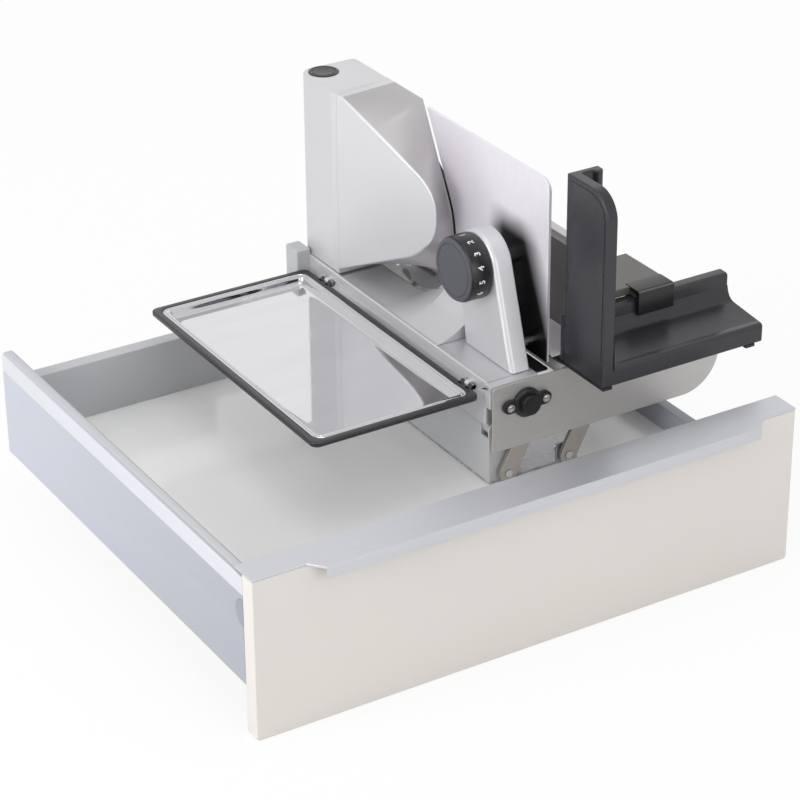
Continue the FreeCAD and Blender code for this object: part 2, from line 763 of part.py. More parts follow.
def arc(axis, along, centre, radius, angles):
    """An arc about a centre, through three angles in degrees from the first cross axis."""
    points = []
    for angle in angles:
        a = math.radians(angle)
        points.append(from_axis(axis, along, number(centre[0]) + number(radius) * math.cos(a),
                                number(centre[1]) + number(radius) * math.sin(a)))
    return Part.Arc(*points).toShape()


def line(a, b):
    return Part.LineSegment(a, b).toShape()


def blade_side_wire(x):
    """The housing's outline beside the blade: a round front that follows the blade."""
    back_y = plateau_start
    curve = arc("X", x, blade_axis, housing_radius, (150, 180, 210))
    upper = curve.Vertexes[0].Point
    lower = curve.Vertexes[-1].Point
    top_front = from_axis("X", x, axis_y - blade_side_front, housing_top)
    top_back = from_axis("X", x, back_y, housing_top)
    low_back = from_axis("X", x, back_y, rim_top)
    return Part.Wire([line(top_back, top_front), line(top_front, upper), curve,
                      line(lower, low_back), line(low_back, top_back)])


def plateau_wire():
    """The housing's outer face: a teardrop that leans towards the blade at its front."""
    def on_face(y, z):
        x = number(housing_left) + number(plateau_slope) * (number(plateau_start) - y)
        return Vector(x, y, z)

    start = number(plateau_start)
    middle = number(axis_y)
    centre = number(axis_z)
    top_back = on_face(start, number(housing_top))
    top_front = on_face(start - number(plateau_run), number(housing_top - plateau_drop))
    upper = on_face(middle - number(nose_upper_run), centre + number(nose_upper_rise))
    tip = on_face(middle - number(nose_tip_run), centre + number(nose_tip_rise))
    lower = on_face(middle - number(nose_lower_run), centre - number(nose_lower_drop))
    low_back = on_face(start, number(rim_top))
    curve = Part.Arc(upper, tip, lower).toShape()
    return Part.Wire([line(top_back, top_front), line(top_front, upper), curve,
                      line(lower, low_back), line(low_back, top_back)])


def housing():
    """The motor housing: a hollow rear block and a front that tapers round the blade."""
    block = prism("housing_block", "Z", (casting_top, housing_top), [
        (housing_left, plateau_start), (housing_right, plateau_start),
        (housing_right, unit_back), (housing_left, unit_back),
    ], {2: housing_corner, 3: housing_corner})
    taper = feature("housing_taper", Part.makeLoft(
        [plateau_wire(), blade_side_wire(shoulder_x)], True, True))
    face = Part.Face(blade_side_wire(shoulder_x))
    thickness = number(housing_right) - number(shoulder_x)
    shoulder = feature("housing_shoulder", face.extrude(Vector(thickness, 0, 0)))
    room_x = (housing_left + housing_wall, plate_left)
    room_y = (plateau_start + cover_gauge, unit_back - housing_wall)
    button_axis = (button_x, button_y)
    cuts = [
        box("housing_room", room_x, room_y, (casting_top + housing_wall, housing_top - housing_wall)),
        rod("housing_motor_bore", "X", (plate_left - motor_length - motor_play, plate_left),
            motor_axis, motor_radius + motor_play),
        rod("housing_plate_round", "X", (plate_left, housing_right), blade_axis, plate_radius),
        box("housing_plate_room", (plate_left, housing_right), (axis_y, unit_back - casting_wall * 3),
            (axis_z - plate_radius + housing_corner * 2, axis_z + plate_radius)),
        rod("housing_bush_bore", "X", (bush_start, plate_left), blade_axis, bush_radius),
        rod("housing_bezel_seat", "Z", (housing_top - bezel_seat, housing_top), button_axis,
            bezel_radius),
        rod("housing_bezel_bore", "Z", (housing_top - housing_wall, housing_top), button_axis,
            bezel_bore + bezel_wall),
    ]
    node("motor_housing", cut("housing_shell", fuse("housing_blank", block, taper, shoulder), *cuts))

    round_plate = rod("plate_round", "X", (plate_left, plate_left + plate_gauge), blade_axis,
                      plate_radius)
    square_plate = box("plate_square", (plate_left, plate_left + plate_gauge),
                       (axis_y, unit_back - casting_wall * 3),
                       (axis_z - plate_radius + housing_corner * 2, axis_z + plate_radius))
    bores = (
        rod("plate_bush_bore", "X", (plate_left, plate_left + plate_gauge), blade_axis, bush_radius),
        rod("plate_shaft_bore", "X", (plate_left, plate_left + plate_gauge), motor_axis,
            shaft_radius + pin_play * 5),
    )
    node("drive_plate", cut("plate", fuse("plate_blank", round_plate, square_plate), *bores))
    bush = rod("bush_blank", "X", (bush_start, plate_left + plate_gauge), blade_axis, bush_radius)
    bush_bore = rod("bush_bore", "X", (bush_start, plate_left + plate_gauge), blade_axis,
                    axle_radius + pin_play)
    node("axle_bush", cut("bush", bush, bush_bore))


def gear(name, teeth, first_angle, centre, bore):
    """A spur gear along X with straight-sided teeth; the first tooth points at first_angle."""
    count = int(number(teeth))
    pitch = number(gear_module)
    radius = pitch * count / 2
    quarter = math.pi * pitch / 4
    levels = ((-1.2, 1.25), (0.0, 0.86), (0.9, 0.5))
    rising = [(radius + up * pitch, -wide * quarter) for up, wide in levels]
    middle = from_axis("X", gear_left, *centre)
    width = number(gear_width)
    points = []
    for i in range(count):
        towards = first_angle + 2 * math.pi * i / count
        for r, offset in rising + [(r, -offset) for r, offset in reversed(rising)]:
            a = towards + offset / r
            points.append(middle + Vector(0, r * math.cos(a), r * math.sin(a)))
    solid = Part.Face(Part.makePolygon(points + points[:1])).extrude(Vector(width, 0, 0))
    if bore:
        solid = solid.cut(Part.makeCylinder(number(bore), width, middle, Vector(1, 0, 0)))
    return feature(name, solid)


def blade_and_drive():
    """The round blade with its wheel, axle and nut, and the motor with its pinion."""
    half_tooth = math.pi / number(wheel_teeth)
    thick = rod("blade_disc", "X", (blade_left, blade_right), blade_axis, blade_radius - blade_bevel)
    edge = cone("blade_edge", "X", (blade_left, blade_right), blade_axis,
                blade_radius - blade_bevel, blade_radius)
    hole = rod("blade_hole", "X", (blade_left, blade_right), blade_axis, axle_radius)
    node("blade", cut("blade_cut", fuse("blade_blank", thick, edge), hole))
    wheel = gear("wheel_teeth_ring", wheel_teeth, half_tooth, blade_axis, axle_radius)
    hub = rod("wheel_hub", "X", (gear_left + gear_width, blade_left), blade_axis, hub_radius)
    hub_hole = rod("wheel_hub_hole", "X", (gear_left + gear_width, blade_left), blade_axis, axle_radius)
    node("blade_gear", fuse("wheel", wheel, cut("wheel_hub_cut", hub, hub_hole)))
    node("blade_axle", rod("axle", "X", (axle_start, blade_right), blade_axis, axle_radius))
    node("blade_nut", rod("nut", "X", (blade_right, blade_right + blade_nut_gauge), blade_axis,
                          blade_nut_radius))

    motor_x = (plate_left - motor_length, plate_left)
    can = rod("motor_can", "X", motor_x, motor_axis, motor_radius)
    shaft_hole = rod("motor_shaft_hole", "X", motor_x, motor_axis, shaft_radius + pin_play)
    node("motor", cut("motor_cut", can, shaft_hole))
    shaft = rod("motor_shaft", "X", (shaft_start, gear_left + gear_width), motor_axis, shaft_radius)
    teeth = gear("pinion_teeth_ring", pinion_teeth, math.pi, motor_axis, None)
    node("motor_pinion", fuse("pinion", shaft, teeth))


def switch():
    """The round push button in the housing's top, with its ring, return sleeve and microswitch."""
    centre = (button_x, button_y)
    ring_top = housing_top + bezel_proud
    ring = rod("bezel_ring", "Z", (housing_top - bezel_seat, ring_top), centre, bezel_radius)
    sleeve = rod("bezel_sleeve", "Z", (housing_top - bezel_depth, ring_top), centre,
                 bezel_bore + bezel_wall)
    bore = rod("bezel_bore_tool", "Z", (housing_top - bezel_depth + cover_gauge, ring_top), centre,
               bezel_bore)
    stem_bore = rod("bezel_stem_bore", "Z", (housing_top - bezel_depth, ring_top), centre,
                    stem_radius + open_play)
    node("switch_bezel", cut("bezel", fuse("bezel_blank", ring, sleeve), bore, stem_bore))

    cap_top = ring_top - button_dip
    cap = rod("button_cap", "Z", (cap_top - button_height, cap_top), centre, button_radius)
    stem = rod("button_stem", "Z", (cap_top - button_height - stem_reach, cap_top - button_height),
               centre, stem_radius)
    node("switch_button", fuse("button", cap, stem))

    sleeve_z = (housing_top - bezel_depth + cover_gauge, cap_top - button_height)
    sleeve = rod("return_sleeve_blank", "Z", sleeve_z, centre, return_sleeve)
    sleeve_bore = rod("return_sleeve_bore", "Z", sleeve_z, centre, return_sleeve - knob_face)
    node("switch_return_sleeve", cut("return_sleeve_cut", sleeve, sleeve_bore))
    switch_top = cap_top - button_height - stem_reach - button_travel - open_play
    node("microswitch", box("switch_block", (button_x - switch_width / 2, button_x + switch_width / 2),
                            (button_y - switch_width / 2, unit_back - housing_wall),
                            (switch_top - switch_height, switch_top)))
    wall = housing_left + housing_wall
    node("circuit_board", box("board", (wall, wall + cover_gauge),
                              (plateau_start + housing_wall * 2, unit_back - housing_wall * 2),
                              (board_low, board_low + board_height)))


# Slice thickness adjuster

bracket_left = size("bracket_left", 75)
bracket_right = size("bracket_right", 96)
bracket_inset = size("bracket_inset", 1)
bracket_length = size("bracket_length", 85)
dial_inset = size("dial_inset", 67)
dial_z = size("dial_z", 221)
bracket_radius = size("bracket_radius", 35)
bracket_corner = size("bracket_corner", 5)
sleeve_radius = size("sleeve_radius", 9)
sleeve_reach = size("sleeve_reach", 28.5)
guide_radius = size("guide_radius", 4)
guide_inset = size("guide_inset", 21)
guide_z = size("guide_z", 150)
guide_depth = size("guide_depth", 20)
stop_left = size("stop_left", 112.5)
stop_gauge = size("stop_gauge", 3.5)
stop_reach = size("stop_reach", 2)
stop_low = size("stop_low", 134)
stop_high = size("stop_high", 325)
stop_corner = size("stop_corner", 12)
stop_clearance = size("stop_clearance", 0.8)
stop_travel = size("stop_travel", 16)
knob_left = size("knob_left", 51)
knob_radius = size("knob_radius", 33)
knob_wall = size("knob_wall", 4)
knob_gap = size("knob_gap", 1)
knob_face = size("knob_face", 1.5)
spindle_radius = size("spindle_radius", 5)
spindle_end = size("spindle_end", 90)
chute_right = size("chute_right", 95.5)
chute_inset = size("chute_inset", 92.5)
chute_shoulder = size("chute_shoulder", 96)
chute_waist = size("chute_waist", 51)
chute_tail = size("chute_tail", 4)
chute_end_drop = size("chute_end_drop", 1)
chute_lip = size("chute_lip", 1)
chute_hollow = size("chute_hollow", 0.16)
chute_high = size("chute_high", 158)

dial_axis = (unit_face + dial_inset, dial_z)
guide_axis = (unit_face + guide_inset, guide_z)
bracket_front = unit_face + bracket_inset
bracket_back = bracket_front + bracket_length
stop_front = unit_face - stop_reach
knob_right = bracket_left - knob_gap


def tangent(base, centre, radius, turn):
    """The point where a line from base touches the circle, on the side that turn picks."""
    run, rise = centre[0] - base[0], centre[1] - base[1]
    far = math.hypot(run, rise)
    angle = math.atan2(rise, run) + turn * math.asin(radius / far)
    reach = math.sqrt(far * far - radius * radius)
    return base[0] + reach * math.cos(angle), base[1] + reach * math.sin(angle)


def adjuster_bracket():
    """The arched arm that carries the dial and guides the stop plate."""
    centre = (number(dial_axis[0]), number(dial_axis[1]))
    radius = number(bracket_radius)
    front = (number(bracket_front), number(casting_top))
    back = (number(bracket_back), number(casting_top))
    front_touch = tangent(front, centre, radius, 1)
    back_touch = tangent(back, centre, radius, -1)
    top = (centre[0], centre[1] + radius)
    place_at = [from_axis("X", bracket_left, *p) for p in (front, front_touch, top, back_touch, back)]
    curve = Part.Arc(place_at[1], place_at[2], place_at[3]).toShape()
    wire = Part.Wire([line(place_at[0], place_at[1]), curve, line(place_at[3], place_at[4]),
                      line(place_at[4], place_at[0])])
    width = number(bracket_right) - number(bracket_left)
    arm = Part.Face(wire).extrude(Vector(width, 0, 0))
    left_edges = [e for e in arm.Edges
                  if abs(e.BoundBox.XMax - number(bracket_left)) < 0.01
                  and e.BoundBox.ZMax > number(casting_top) + 0.01]
    arm = arm.makeFillet(number(bracket_corner), left_edges)
    bores = (
        rod("bracket_sleeve_bore", "X", (bracket_left, bracket_right), dial_axis,
            sleeve_radius + pin_play),
        rod("bracket_guide_bore", "X", (bracket_right - guide_depth, bracket_right), guide_axis,
            guide_radius + pin_play),
    )
    node("adjuster_bracket", cut("bracket", feature("bracket_blank", arm), *bores))


def stop_plate():
    """The thickness plate, with the sleeve and the guide rod that it slides on."""
    stop_x = (stop_left, stop_left + stop_gauge)
    reach = blade_radius + stop_clearance
    touch = math.radians(150)
    touch_y = axis_y + reach * math.cos(touch)
    touch_z = axis_z + reach * math.sin(touch)
    rear_top_y = touch_y + (stop_high - touch_z) * math.tan(math.radians(28))
    blank = prism("stop_blank", "X", stop_x, [
        (stop_front, stop_low), (stop_front, stop_high), (rear_top_y, stop_high),
        (touch_y, touch_z), (axis_y - blade_radius / 2, stop_low),
    ], {1: stop_corner})
    round_cut = rod("stop_round", "X", stop_x, blade_axis, reach)
    node("stop_plate", cut("stop", blank, round_cut))

    sleeve_x = (stop_left - sleeve_reach, stop_left)
    sleeve = rod("stop_sleeve", "X", sleeve_x, dial_axis, sleeve_radius)
    bore_end = spindle_end + stop_travel + knob_gap
    sleeve_bore = rod("stop_sleeve_bore", "X", (stop_left - sleeve_reach, bore_end), dial_axis,
                      spindle_radius + pin_play)
    guide = rod("stop_guide", "X", (bracket_right - guide_depth + stop_travel + knob_gap, stop_left),
                guide_axis, guide_radius)
    node("stop_plate_guides", group("stop_guides", cut("stop_sleeve_cut", sleeve, sleeve_bore), guide))


def dial():
    """The hollow thickness dial with its face disc and spindle."""
    disc = rod("knob_disc", "X", (knob_left, knob_right), dial_axis, knob_radius)
    hollow = rod("knob_hollow", "X", (knob_left + knob_wall, knob_right), dial_axis,
                 knob_radius - knob_wall)
    hole = rod("knob_hole", "X", (knob_left, knob_right), dial_axis, spindle_radius)
    node("dial_knob", cut("knob", disc, hollow, hole))
    node("dial_face", rod("knob_cap", "X", (knob_left - knob_face, knob_left), dial_axis,
                          knob_radius - knob_face))
    node("dial_spindle", rod("spindle", "X", (knob_left, spindle_end), dial_axis, spindle_radius))


def slice_chute():
    """The hollow-curved ramp that leads slices from the blade down to the tray."""
    left = number(casting_left + rim_width)
    right = number(chute_right)
    low = number(casting_top)
    high = number(chute_high)
    rim = number(rim_top - chute_lip)
    housing_low = number(rim_top)
    stations = (
        (number(unit_face + chute_inset), high),
        (number(axis_y - chute_shoulder), high),
        (number(axis_y - chute_waist), housing_low + 2 * number(chute_lip)),
        (number(plateau_start - chute_tail), housing_low - number(chute_end_drop)),
    )
    wires = []
    for y, top in stations:
        corner = Vector(left, y, min(rim, top))
        upper = Vector(right, y, top)
        middle = Vector((left + right) / 2, y, (corner.z + upper.z) / 2 - number(chute_hollow) * (top - low))
        base_left, base_right = Vector(left, y, low), Vector(right, y, low)
        wires.append(Part.Wire([line(base_left, corner), Part.Arc(corner, middle, upper).toShape(),
                                line(upper, base_right), line(base_right, base_left)]))
    node("slice_chute", feature("chute", Part.makeLoft(wires, True, True)))


# Catch tray

tray_left = size("tray_left", 147)
tray_right = size("tray_right", 36.8)
tray_reach = size("tray_reach", 3)
tray_inset = size("tray_inset", 22)
tray_drop = size("tray_drop", 5)
tray_rim = size("tray_rim", 7)
tray_corner = size("tray_corner", 12)
pan_gauge = size("pan_gauge", 1)
pan_step = size("pan_step", 4)
pan_depth = size("pan_depth", 9)
hang_lug_width = size("hang_lug_width", 6)
hang_side_gap = size("hang_side_gap", 0.4)

tray_top = hang_z


def rounded_box(name, x, y, z, corner):
    return prism(name, "Z", z, [(x[0], y[0]), (x[1], y[0]), (x[1], y[1]), (x[0], y[1])],
                 {0: corner, 1: corner, 2: corner, 3: corner})


def inward(limits, step):
    return (limits[0] + step, limits[1] - step)


def tray():
    """The polished pan in its plastic frame, hung on the slicer's left side."""
    x = (-tray_left, tray_right)
    y = (unit_face - tray_reach, unit_back - tray_inset)
    outer = rounded_box("frame_outer", x, y, (tray_top - tray_drop, tray_top), tray_corner / 2)
    window = rounded_box("frame_window", inward(x, tray_rim), inward(y, tray_rim),
                         (tray_top - tray_drop, tray_top), tray_corner)
    lugs = []
    bores = []
    pins = []
    for name, ear in (("front", front_ear_y), ("rear", rear_ear_y)):
        before = (ear[0] - hang_side_gap - hang_lug_width, ear[0] - hang_side_gap)
        after = (ear[1] + hang_side_gap, ear[1] + hang_side_gap + hang_lug_width)
        for at, ends in (("before", before), ("after", after)):
            label = f"hang_lug_{name}_{at}"
            lugs.append(rod(label, "Y", ends, hang_axis, hang_ear))
            lugs.append(box(label + "_neck", (tray_right - tray_rim / 2, hang_x), ends,
                            (hang_z - hang_ear, hang_z)))
            bores.append(rod(label + "_bore", "Y", ends, hang_axis, hang_pin))
        pins.append(rod(f"hang_pin_{name}", "Y", (before[0], after[1]), hang_axis, hang_pin))
    frame = cut("frame_ring", fuse("frame_blank", outer, *lugs), window, *bores)
    node("tray_frame", frame)
    node("tray_hang_pins", group("hang_pins", *pins))

    pan_x = inward(x, tray_rim)
    pan_y = inward(y, tray_rim)
    body = rounded_box("pan_body", pan_x, pan_y, (tray_top - pan_depth, tray_top), tray_corner)
    hollow = rounded_box("pan_hollow", inward(pan_x, pan_step), inward(pan_y, pan_step),
                         (tray_top - pan_depth + pan_gauge, tray_top), tray_corner)
    node("tray_pan", cut("pan", body, hollow))


# Deck with its rails and lock

deck_left = size("deck_left", 46)
deck_right = size("deck_right", 316)
deck_low = size("deck_low", 57)
deck_high = size("deck_high", 127)
deck_nose = size("deck_nose", 43)
deck_corner = size("deck_corner", 6)
rear_deck_left = size("rear_deck_left", 119.5)
lug_reach = size("lug_reach", 12)
rail_left = size("rail_left", 126)
rail_right = size("rail_right", 296)
rail_width = size("rail_width", 11)
rail_low = size("rail_low", 119)
rail_high = size("rail_high", 131)
flange_radius = size("flange_radius", 15)
flange_ear = size("flange_ear", 7)
flange_span = size("flange_span", 20.5)
flange_gauge = size("flange_gauge", 4)
flange_screw = size("flange_screw", 1.9)
flange_screw_head = size("flange_screw_head", 4.2)
flange_screw_proud = size("flange_screw_proud", 1.6)
plunger_radius = size("plunger_radius", 10)
plunger_depth = size("plunger_depth", 7)
plunger_gap = size("plunger_gap", 0.5)
plunger_tip_gap = size("plunger_tip_gap", 0.8)
collar_radius = size("collar_radius", 7)
collar_gauge = size("collar_gauge", 1.6)
lock_travel = size("lock_travel", 4)


def deck_plates():
    """The front and rear plates of the deck, with the studs that the linkage turns on."""
    outline = [(deck_left, deck_low), (deck_right, deck_low), (deck_right, deck_high),
               (deck_left, deck_high)]
    rounds = {0: deck_corner / 2, 1: deck_nose, 2: deck_corner, 3: deck_corner / 2}
    front_y = (deck_front_outer, deck_front_inner)
    front = prism("deck_front", "Y", front_y, outline, rounds)
    lock_bore = rod("deck_lock_bore", "Y", front_y, (lock_x, lock_z), lock_stem + open_play)
    screw_bores = [rod(f"deck_flange_bore_{i}", "Y", front_y, (lock_x + side * flange_span, lock_z),
                       flange_screw) for i, side in enumerate((-1, 1))]
    node("deck_front_plate", cut("deck_front_cut", front, lock_bore, *screw_bores))

    rear_y = (deck_rear_inner, deck_rear_outer)
    rear_outline = [(rear_deck_left, deck_low), (deck_right, deck_low), (deck_right, deck_high),
                    (rear_deck_left, deck_high)]
    rear = prism("deck_rear", "Y", rear_y, rear_outline, {1: deck_nose, 2: deck_corner})
    tongue = box("deck_tongue", (level_x, rear_deck_left + lug_reach), rear_y,
                 (level_z - lug_radius, level_z + lug_radius))
    eye = rod("deck_eye", "Y", rear_y, level_axis, lug_radius)
    eye_bore = rod("deck_eye_bore", "Y", rear_y, level_axis, pin_radius + pin_play)
    node("deck_rear_plate", cut("deck_rear_cut", fuse("deck_rear_blank", rear, tongue, eye), eye_bore))

    front_tip = front_arm_back - arm_gap / 3
    rear_tip = rear_arm_face + arm_gap / 3
    studs = [rod("level_stud", "Y", (deck_front_inner, unit_face + level_bore_depth - knob_gap),
                 level_axis, pin_radius)]
    for side, head in (("left", left_head), ("right", right_head)):
        studs.append(rod(f"head_stud_front_{side}", "Y", (deck_front_inner, front_tip), head,
                         stud_radius))
        studs.append(rod(f"head_stud_rear_{side}", "Y", (rear_tip, deck_rear_inner), head,
                         stud_radius))
    node("deck_studs", group("studs", *studs))

    rails = [box(f"rail_{name}", (x, x + rail_width), (deck_front_inner, deck_rear_inner),
                 (rail_low, rail_high)) for name, x in (("left", rail_left), ("right", rail_right))]
    node("carriage_rails", group("rails", *rails))


def deck_lock():
    """The lock's flange and screws on the front plate, and its sprung pull knob."""
    centre = (lock_x, lock_z)
    flange_y = (deck_front_outer - flange_gauge, deck_front_outer)
    parts = [rod("flange_disc", "Y", flange_y, centre, flange_radius)]
    bores = [rod("flange_bore", "Y", flange_y, centre, lock_stem + open_play)]
    screws = []
    for i, side in enumerate((-1, 1)):
        place_at = (lock_x + side * flange_span, lock_z)
        parts.append(rod(f"flange_ear_{i}", "Y", flange_y, place_at, flange_ear))
        bores.append(rod(f"flange_screw_bore_{i}", "Y", flange_y, place_at, flange_screw))
        head = rod(f"flange_screw_head_{i}", "Y", (flange_y[0] - flange_screw_proud, flange_y[0]),
                   place_at, flange_screw_head)
        shank = rod(f"flange_screw_shank_{i}", "Y", (flange_y[0], deck_front_inner), place_at,
                    flange_screw)
        screws.append(fuse(f"flange_screw_{i}", head, shank))
    bridge = box("flange_bridge", (lock_x - flange_span, lock_x + flange_span), flange_y,
                 (lock_z - flange_ear, lock_z + flange_ear))
    node("lock_flange", cut("flange", fuse("flange_blank", bridge, *parts), *bores))
    node("lock_flange_screws", group("flange_screws", *screws))

    knob_back = flange_y[0] - plunger_gap
    tip = unit_face - plunger_tip_gap
    knob = rod("plunger_knob", "Y", (knob_back - plunger_depth, knob_back), centre, plunger_radius)
    stem = rod("plunger_stem", "Y", (knob_back, tip), centre, lock_stem)
    collar = rod("plunger_collar", "Y", (tip - collar_gauge, tip), centre, collar_radius)
    node("lock_plunger", fuse("plunger", knob, stem, collar))


# Carriage and pusher

guard_left = size("guard_left", 127)
guard_width = size("guard_width", 12)
guard_high = size("guard_high", 333)
guard_round = size("guard_round", 28)
guard_reach = size("guard_reach", 10)
guard_wall = size("guard_wall", 7)
guard_wing = size("guard_wing", 35)
guard_wing_low = size("guard_wing_low", 190)
guard_roll = size("guard_roll", 5)
carriage_reach = size("carriage_reach", 77.5)
carriage_depth = size("carriage_depth", 131)
carriage_right = size("carriage_right", 317)
carriage_low = size("carriage_low", 134.5)
ledge_high = size("ledge_high", 154)
ledge_gauge = size("ledge_gauge", 4.5)
rail_reach = size("rail_reach", 19)
rail_gauge = size("rail_gauge", 15)
grip_high = size("grip_high", 185)
grip_foot = size("grip_foot", 12)
grip_rise = size("grip_rise", 6)
grip_round = size("grip_round", 4)
bed_gauge = size("bed_gauge", 4.5)
food_plate_gauge = size("food_plate_gauge", 1.5)
food_plate_left = size("food_plate_left", 118.5)
food_plate_inset = size("food_plate_inset", 2)
shoe_gauge = size("shoe_gauge", 3.2)
shoe_play = size("shoe_play", 0.6)
shoe_fin = size("shoe_fin", 3.4)
shoe_fin_drop = size("shoe_fin_drop", 9)
shoe_fin_inset = size("shoe_fin_inset", 1)
shoe_fin_length = size("shoe_fin_length", 125)
pusher_left = size("pusher_left", 160)
pusher_wall = size("pusher_wall", 4)
pusher_inset = size("pusher_inset", 1)
pusher_length = size("pusher_length", 90)
pusher_low = size("pusher_low", 142)
pusher_high = size("pusher_high", 232)
wing_right = size("wing_right", 240)
wing_depth = size("wing_depth", 65)
wing_reach = size("wing_reach", 8)
wing_low = size("wing_low", 185.5)
wing_gauge = size("wing_gauge", 8.5)
hook_left = size("hook_left", 205.5)
hook_right = size("hook_right", 247)
hook_wall = size("hook_wall", 4)
hook_low = size("hook_low", 169)
hook_play = size("hook_play", 0.5)
spike_length = size("spike_length", 4)
spike_radius = size("spike_radius", 2)


carriage_front = unit_face - carriage_reach
carriage_back = unit_face + carriage_depth
rail_front = unit_face - rail_reach
rail_back = rail_front + rail_gauge
guard_back = unit_face - guard_reach
pusher_front = unit_face + pusher_inset
wing_front = unit_face - wing_reach
wing_back = wing_front + wing_depth


def carriage():
    """The carriage: hand guard, grip rail and ledge, on shoes that ride the deck's rails."""
    front = carriage_front
    low = carriage_low
    inner = front + ledge_gauge
    under = ledge_high - ledge_gauge
    ledge = prism("carriage_ledge", "X", (guard_left, carriage_right), [
        (front, low), (front, ledge_high), (rail_front - grip_foot, ledge_high),
        (rail_front, ledge_high + grip_rise), (rail_front, grip_high), (rail_back, grip_high),
        (rail_back, low), (rail_back - ledge_gauge, low), (rail_back - ledge_gauge, under),
        (inner, under), (inner, low),
    ], {1: grip_round, 4: grip_round, 5: grip_round})
    guard_x = (guard_left, guard_left + guard_width)
    guard = prism("carriage_guard", "X", guard_x, [
        (front, low), (guard_back, low), (guard_back, guard_high), (front, guard_high),
    ], {3: guard_round})
    wing_y = (guard_back - guard_wall, guard_back)
    wing = box("guard_wing_wall", (guard_left, guard_left + guard_wing), wing_y,
               (guard_wing_low, guard_high))
    roll = rod("guard_wing_roll", "Z", (guard_wing_low, guard_high),
               (guard_left + guard_wing - guard_roll, guard_back - guard_wall), guard_roll)
    bed_x = (guard_left, carriage_right)
    bed = box("carriage_bed", bed_x, (rail_back - ledge_gauge, carriage_back), (low, low + bed_gauge))
    node("carriage_body", fuse("carriage_shell", ledge, guard, wing, roll, bed))

    plate_low = low + bed_gauge
    node("carriage_food_plate", box("food_plate", (food_plate_left, carriage_right - food_plate_inset),
                                    (rail_back, carriage_back), (plate_low, plate_low + food_plate_gauge)))
    shoes = []
    for name, x, inner_side in (("left", rail_left, 1), ("right", rail_right, -1)):
        sole_x = (x + 1, x + rail_width + 1)
        sole_y = (front, carriage_back)
        sole = box(f"shoe_{name}_sole", sole_x, sole_y, (low - shoe_gauge, low))
        edge = x + rail_width if inner_side > 0 else x
        near = edge + shoe_play * inner_side
        fin_x = sorted_pair(near, near + shoe_fin * inner_side)
        web_x = sorted_pair(near - (rail_width / 2) * inner_side, near + shoe_fin * inner_side)
        fin_y = (unit_face + shoe_fin_inset, unit_face + shoe_fin_inset + shoe_fin_length)
        fin = box(f"shoe_{name}_fin", fin_x, fin_y, (low - shoe_gauge - shoe_fin_drop, low))
        web = box(f"shoe_{name}_web", web_x, fin_y, (low - shoe_gauge, low))
        shoes.append(fuse(f"shoe_{name}", sole, fin, web))
    node("carriage_shoes", group("shoes", *shoes))


def pusher():
    """The food pusher: a spiked plate on a wing that hooks over the grip rail."""
    plate_y = (pusher_front, pusher_front + pusher_length)
    plate = box("pusher_plate", (pusher_left, pusher_left + pusher_wall), plate_y,
                (pusher_low, pusher_high))
    wing_z = (wing_low, wing_low + wing_gauge)
    wing = box("pusher_wing", (pusher_left, wing_right), (wing_front, wing_back), wing_z)
    hook_x = (hook_left, hook_right)
    hook_face = rail_front - hook_play - hook_wall
    cap = box("pusher_cap", hook_x, (hook_face, wing_back), wing_z)
    lip = box("pusher_lip", hook_x, (hook_face, rail_front - hook_play), (hook_low, wing_low + wing_gauge))
    tail = box("pusher_tail", hook_x, (rail_back + hook_play, rail_back + hook_play + hook_wall),
               (hook_low, wing_low + wing_gauge))
    node("food_pusher", fuse("pusher_shell", plate, wing, cap, lip, tail))
    spikes = []
    for i, up in enumerate((0.15, 0.4, 0.65)):
        for k, along in enumerate((0.25, 0.75)):
            y = plate_y[0] + pusher_length * along
            z = pusher_low + (pusher_high - pusher_low) * up
            spikes.append(cone(f"spike_{i}_{k}", "X", (pusher_left - spike_length, pusher_left), (y, z),
                               spike_radius / 8, spike_radius))
    node("pusher_spikes", group("spikes", *spikes))


# Build, test and write


def check_document():
    """Stop if any object failed or any sub-part is empty or broken."""
    faults = [thing.Label for thing in doc.Objects if {"Invalid", "Error"} & set(thing.State)]
    for thing in nodes:
        if thing.Shape.isNull() or not thing.Shape.isValid() or not thing.Shape.Solids:
            faults.append(thing.Label)
    if faults:
        raise RuntimeError(f"failed objects: {sorted(set(faults))}")


def main():
    drawer_front()
    drawer_sides()
    drawer_floor()
    front_angles()
    runner_clips()
    base_plate()
    hinge_pedestal()
    swing_arms()
    base_casting()
    housing()
    blade_and_drive()
    switch()
    adjuster_bracket()
    stop_plate()
    dial()
    slice_chute()
    tray()
    deck_plates()
    deck_lock()
    carriage()
    pusher()
    doc.recompute()
    check_document()
    os.makedirs("parts", exist_ok=True)
    for thing in nodes:
        thing.Shape.exportStep(f"parts/{thing.Label}.step")
        bounds = thing.Shape.BoundBox
        print(f"{thing.Label}: {len(thing.Shape.Solids)} solid(s), {thing.Shape.Volume / 1000:.1f} cm3, "
              f"{bounds.XLength:.1f} x {bounds.YLength:.1f} x {bounds.ZLength:.1f} mm")


main()
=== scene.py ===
# %% [markdown]
# # A food slicer that folds down into a kitchen drawer
# The shapes that carry, turn and slide come ready made in the frame. This lesson gives them the
# look of the real thing: eased edges, pressed steel, moulded plastic, and the light of a studio.

# %% Load the frame
import bmesh
import bpy
import json
import math
from mathutils import Matrix, Vector


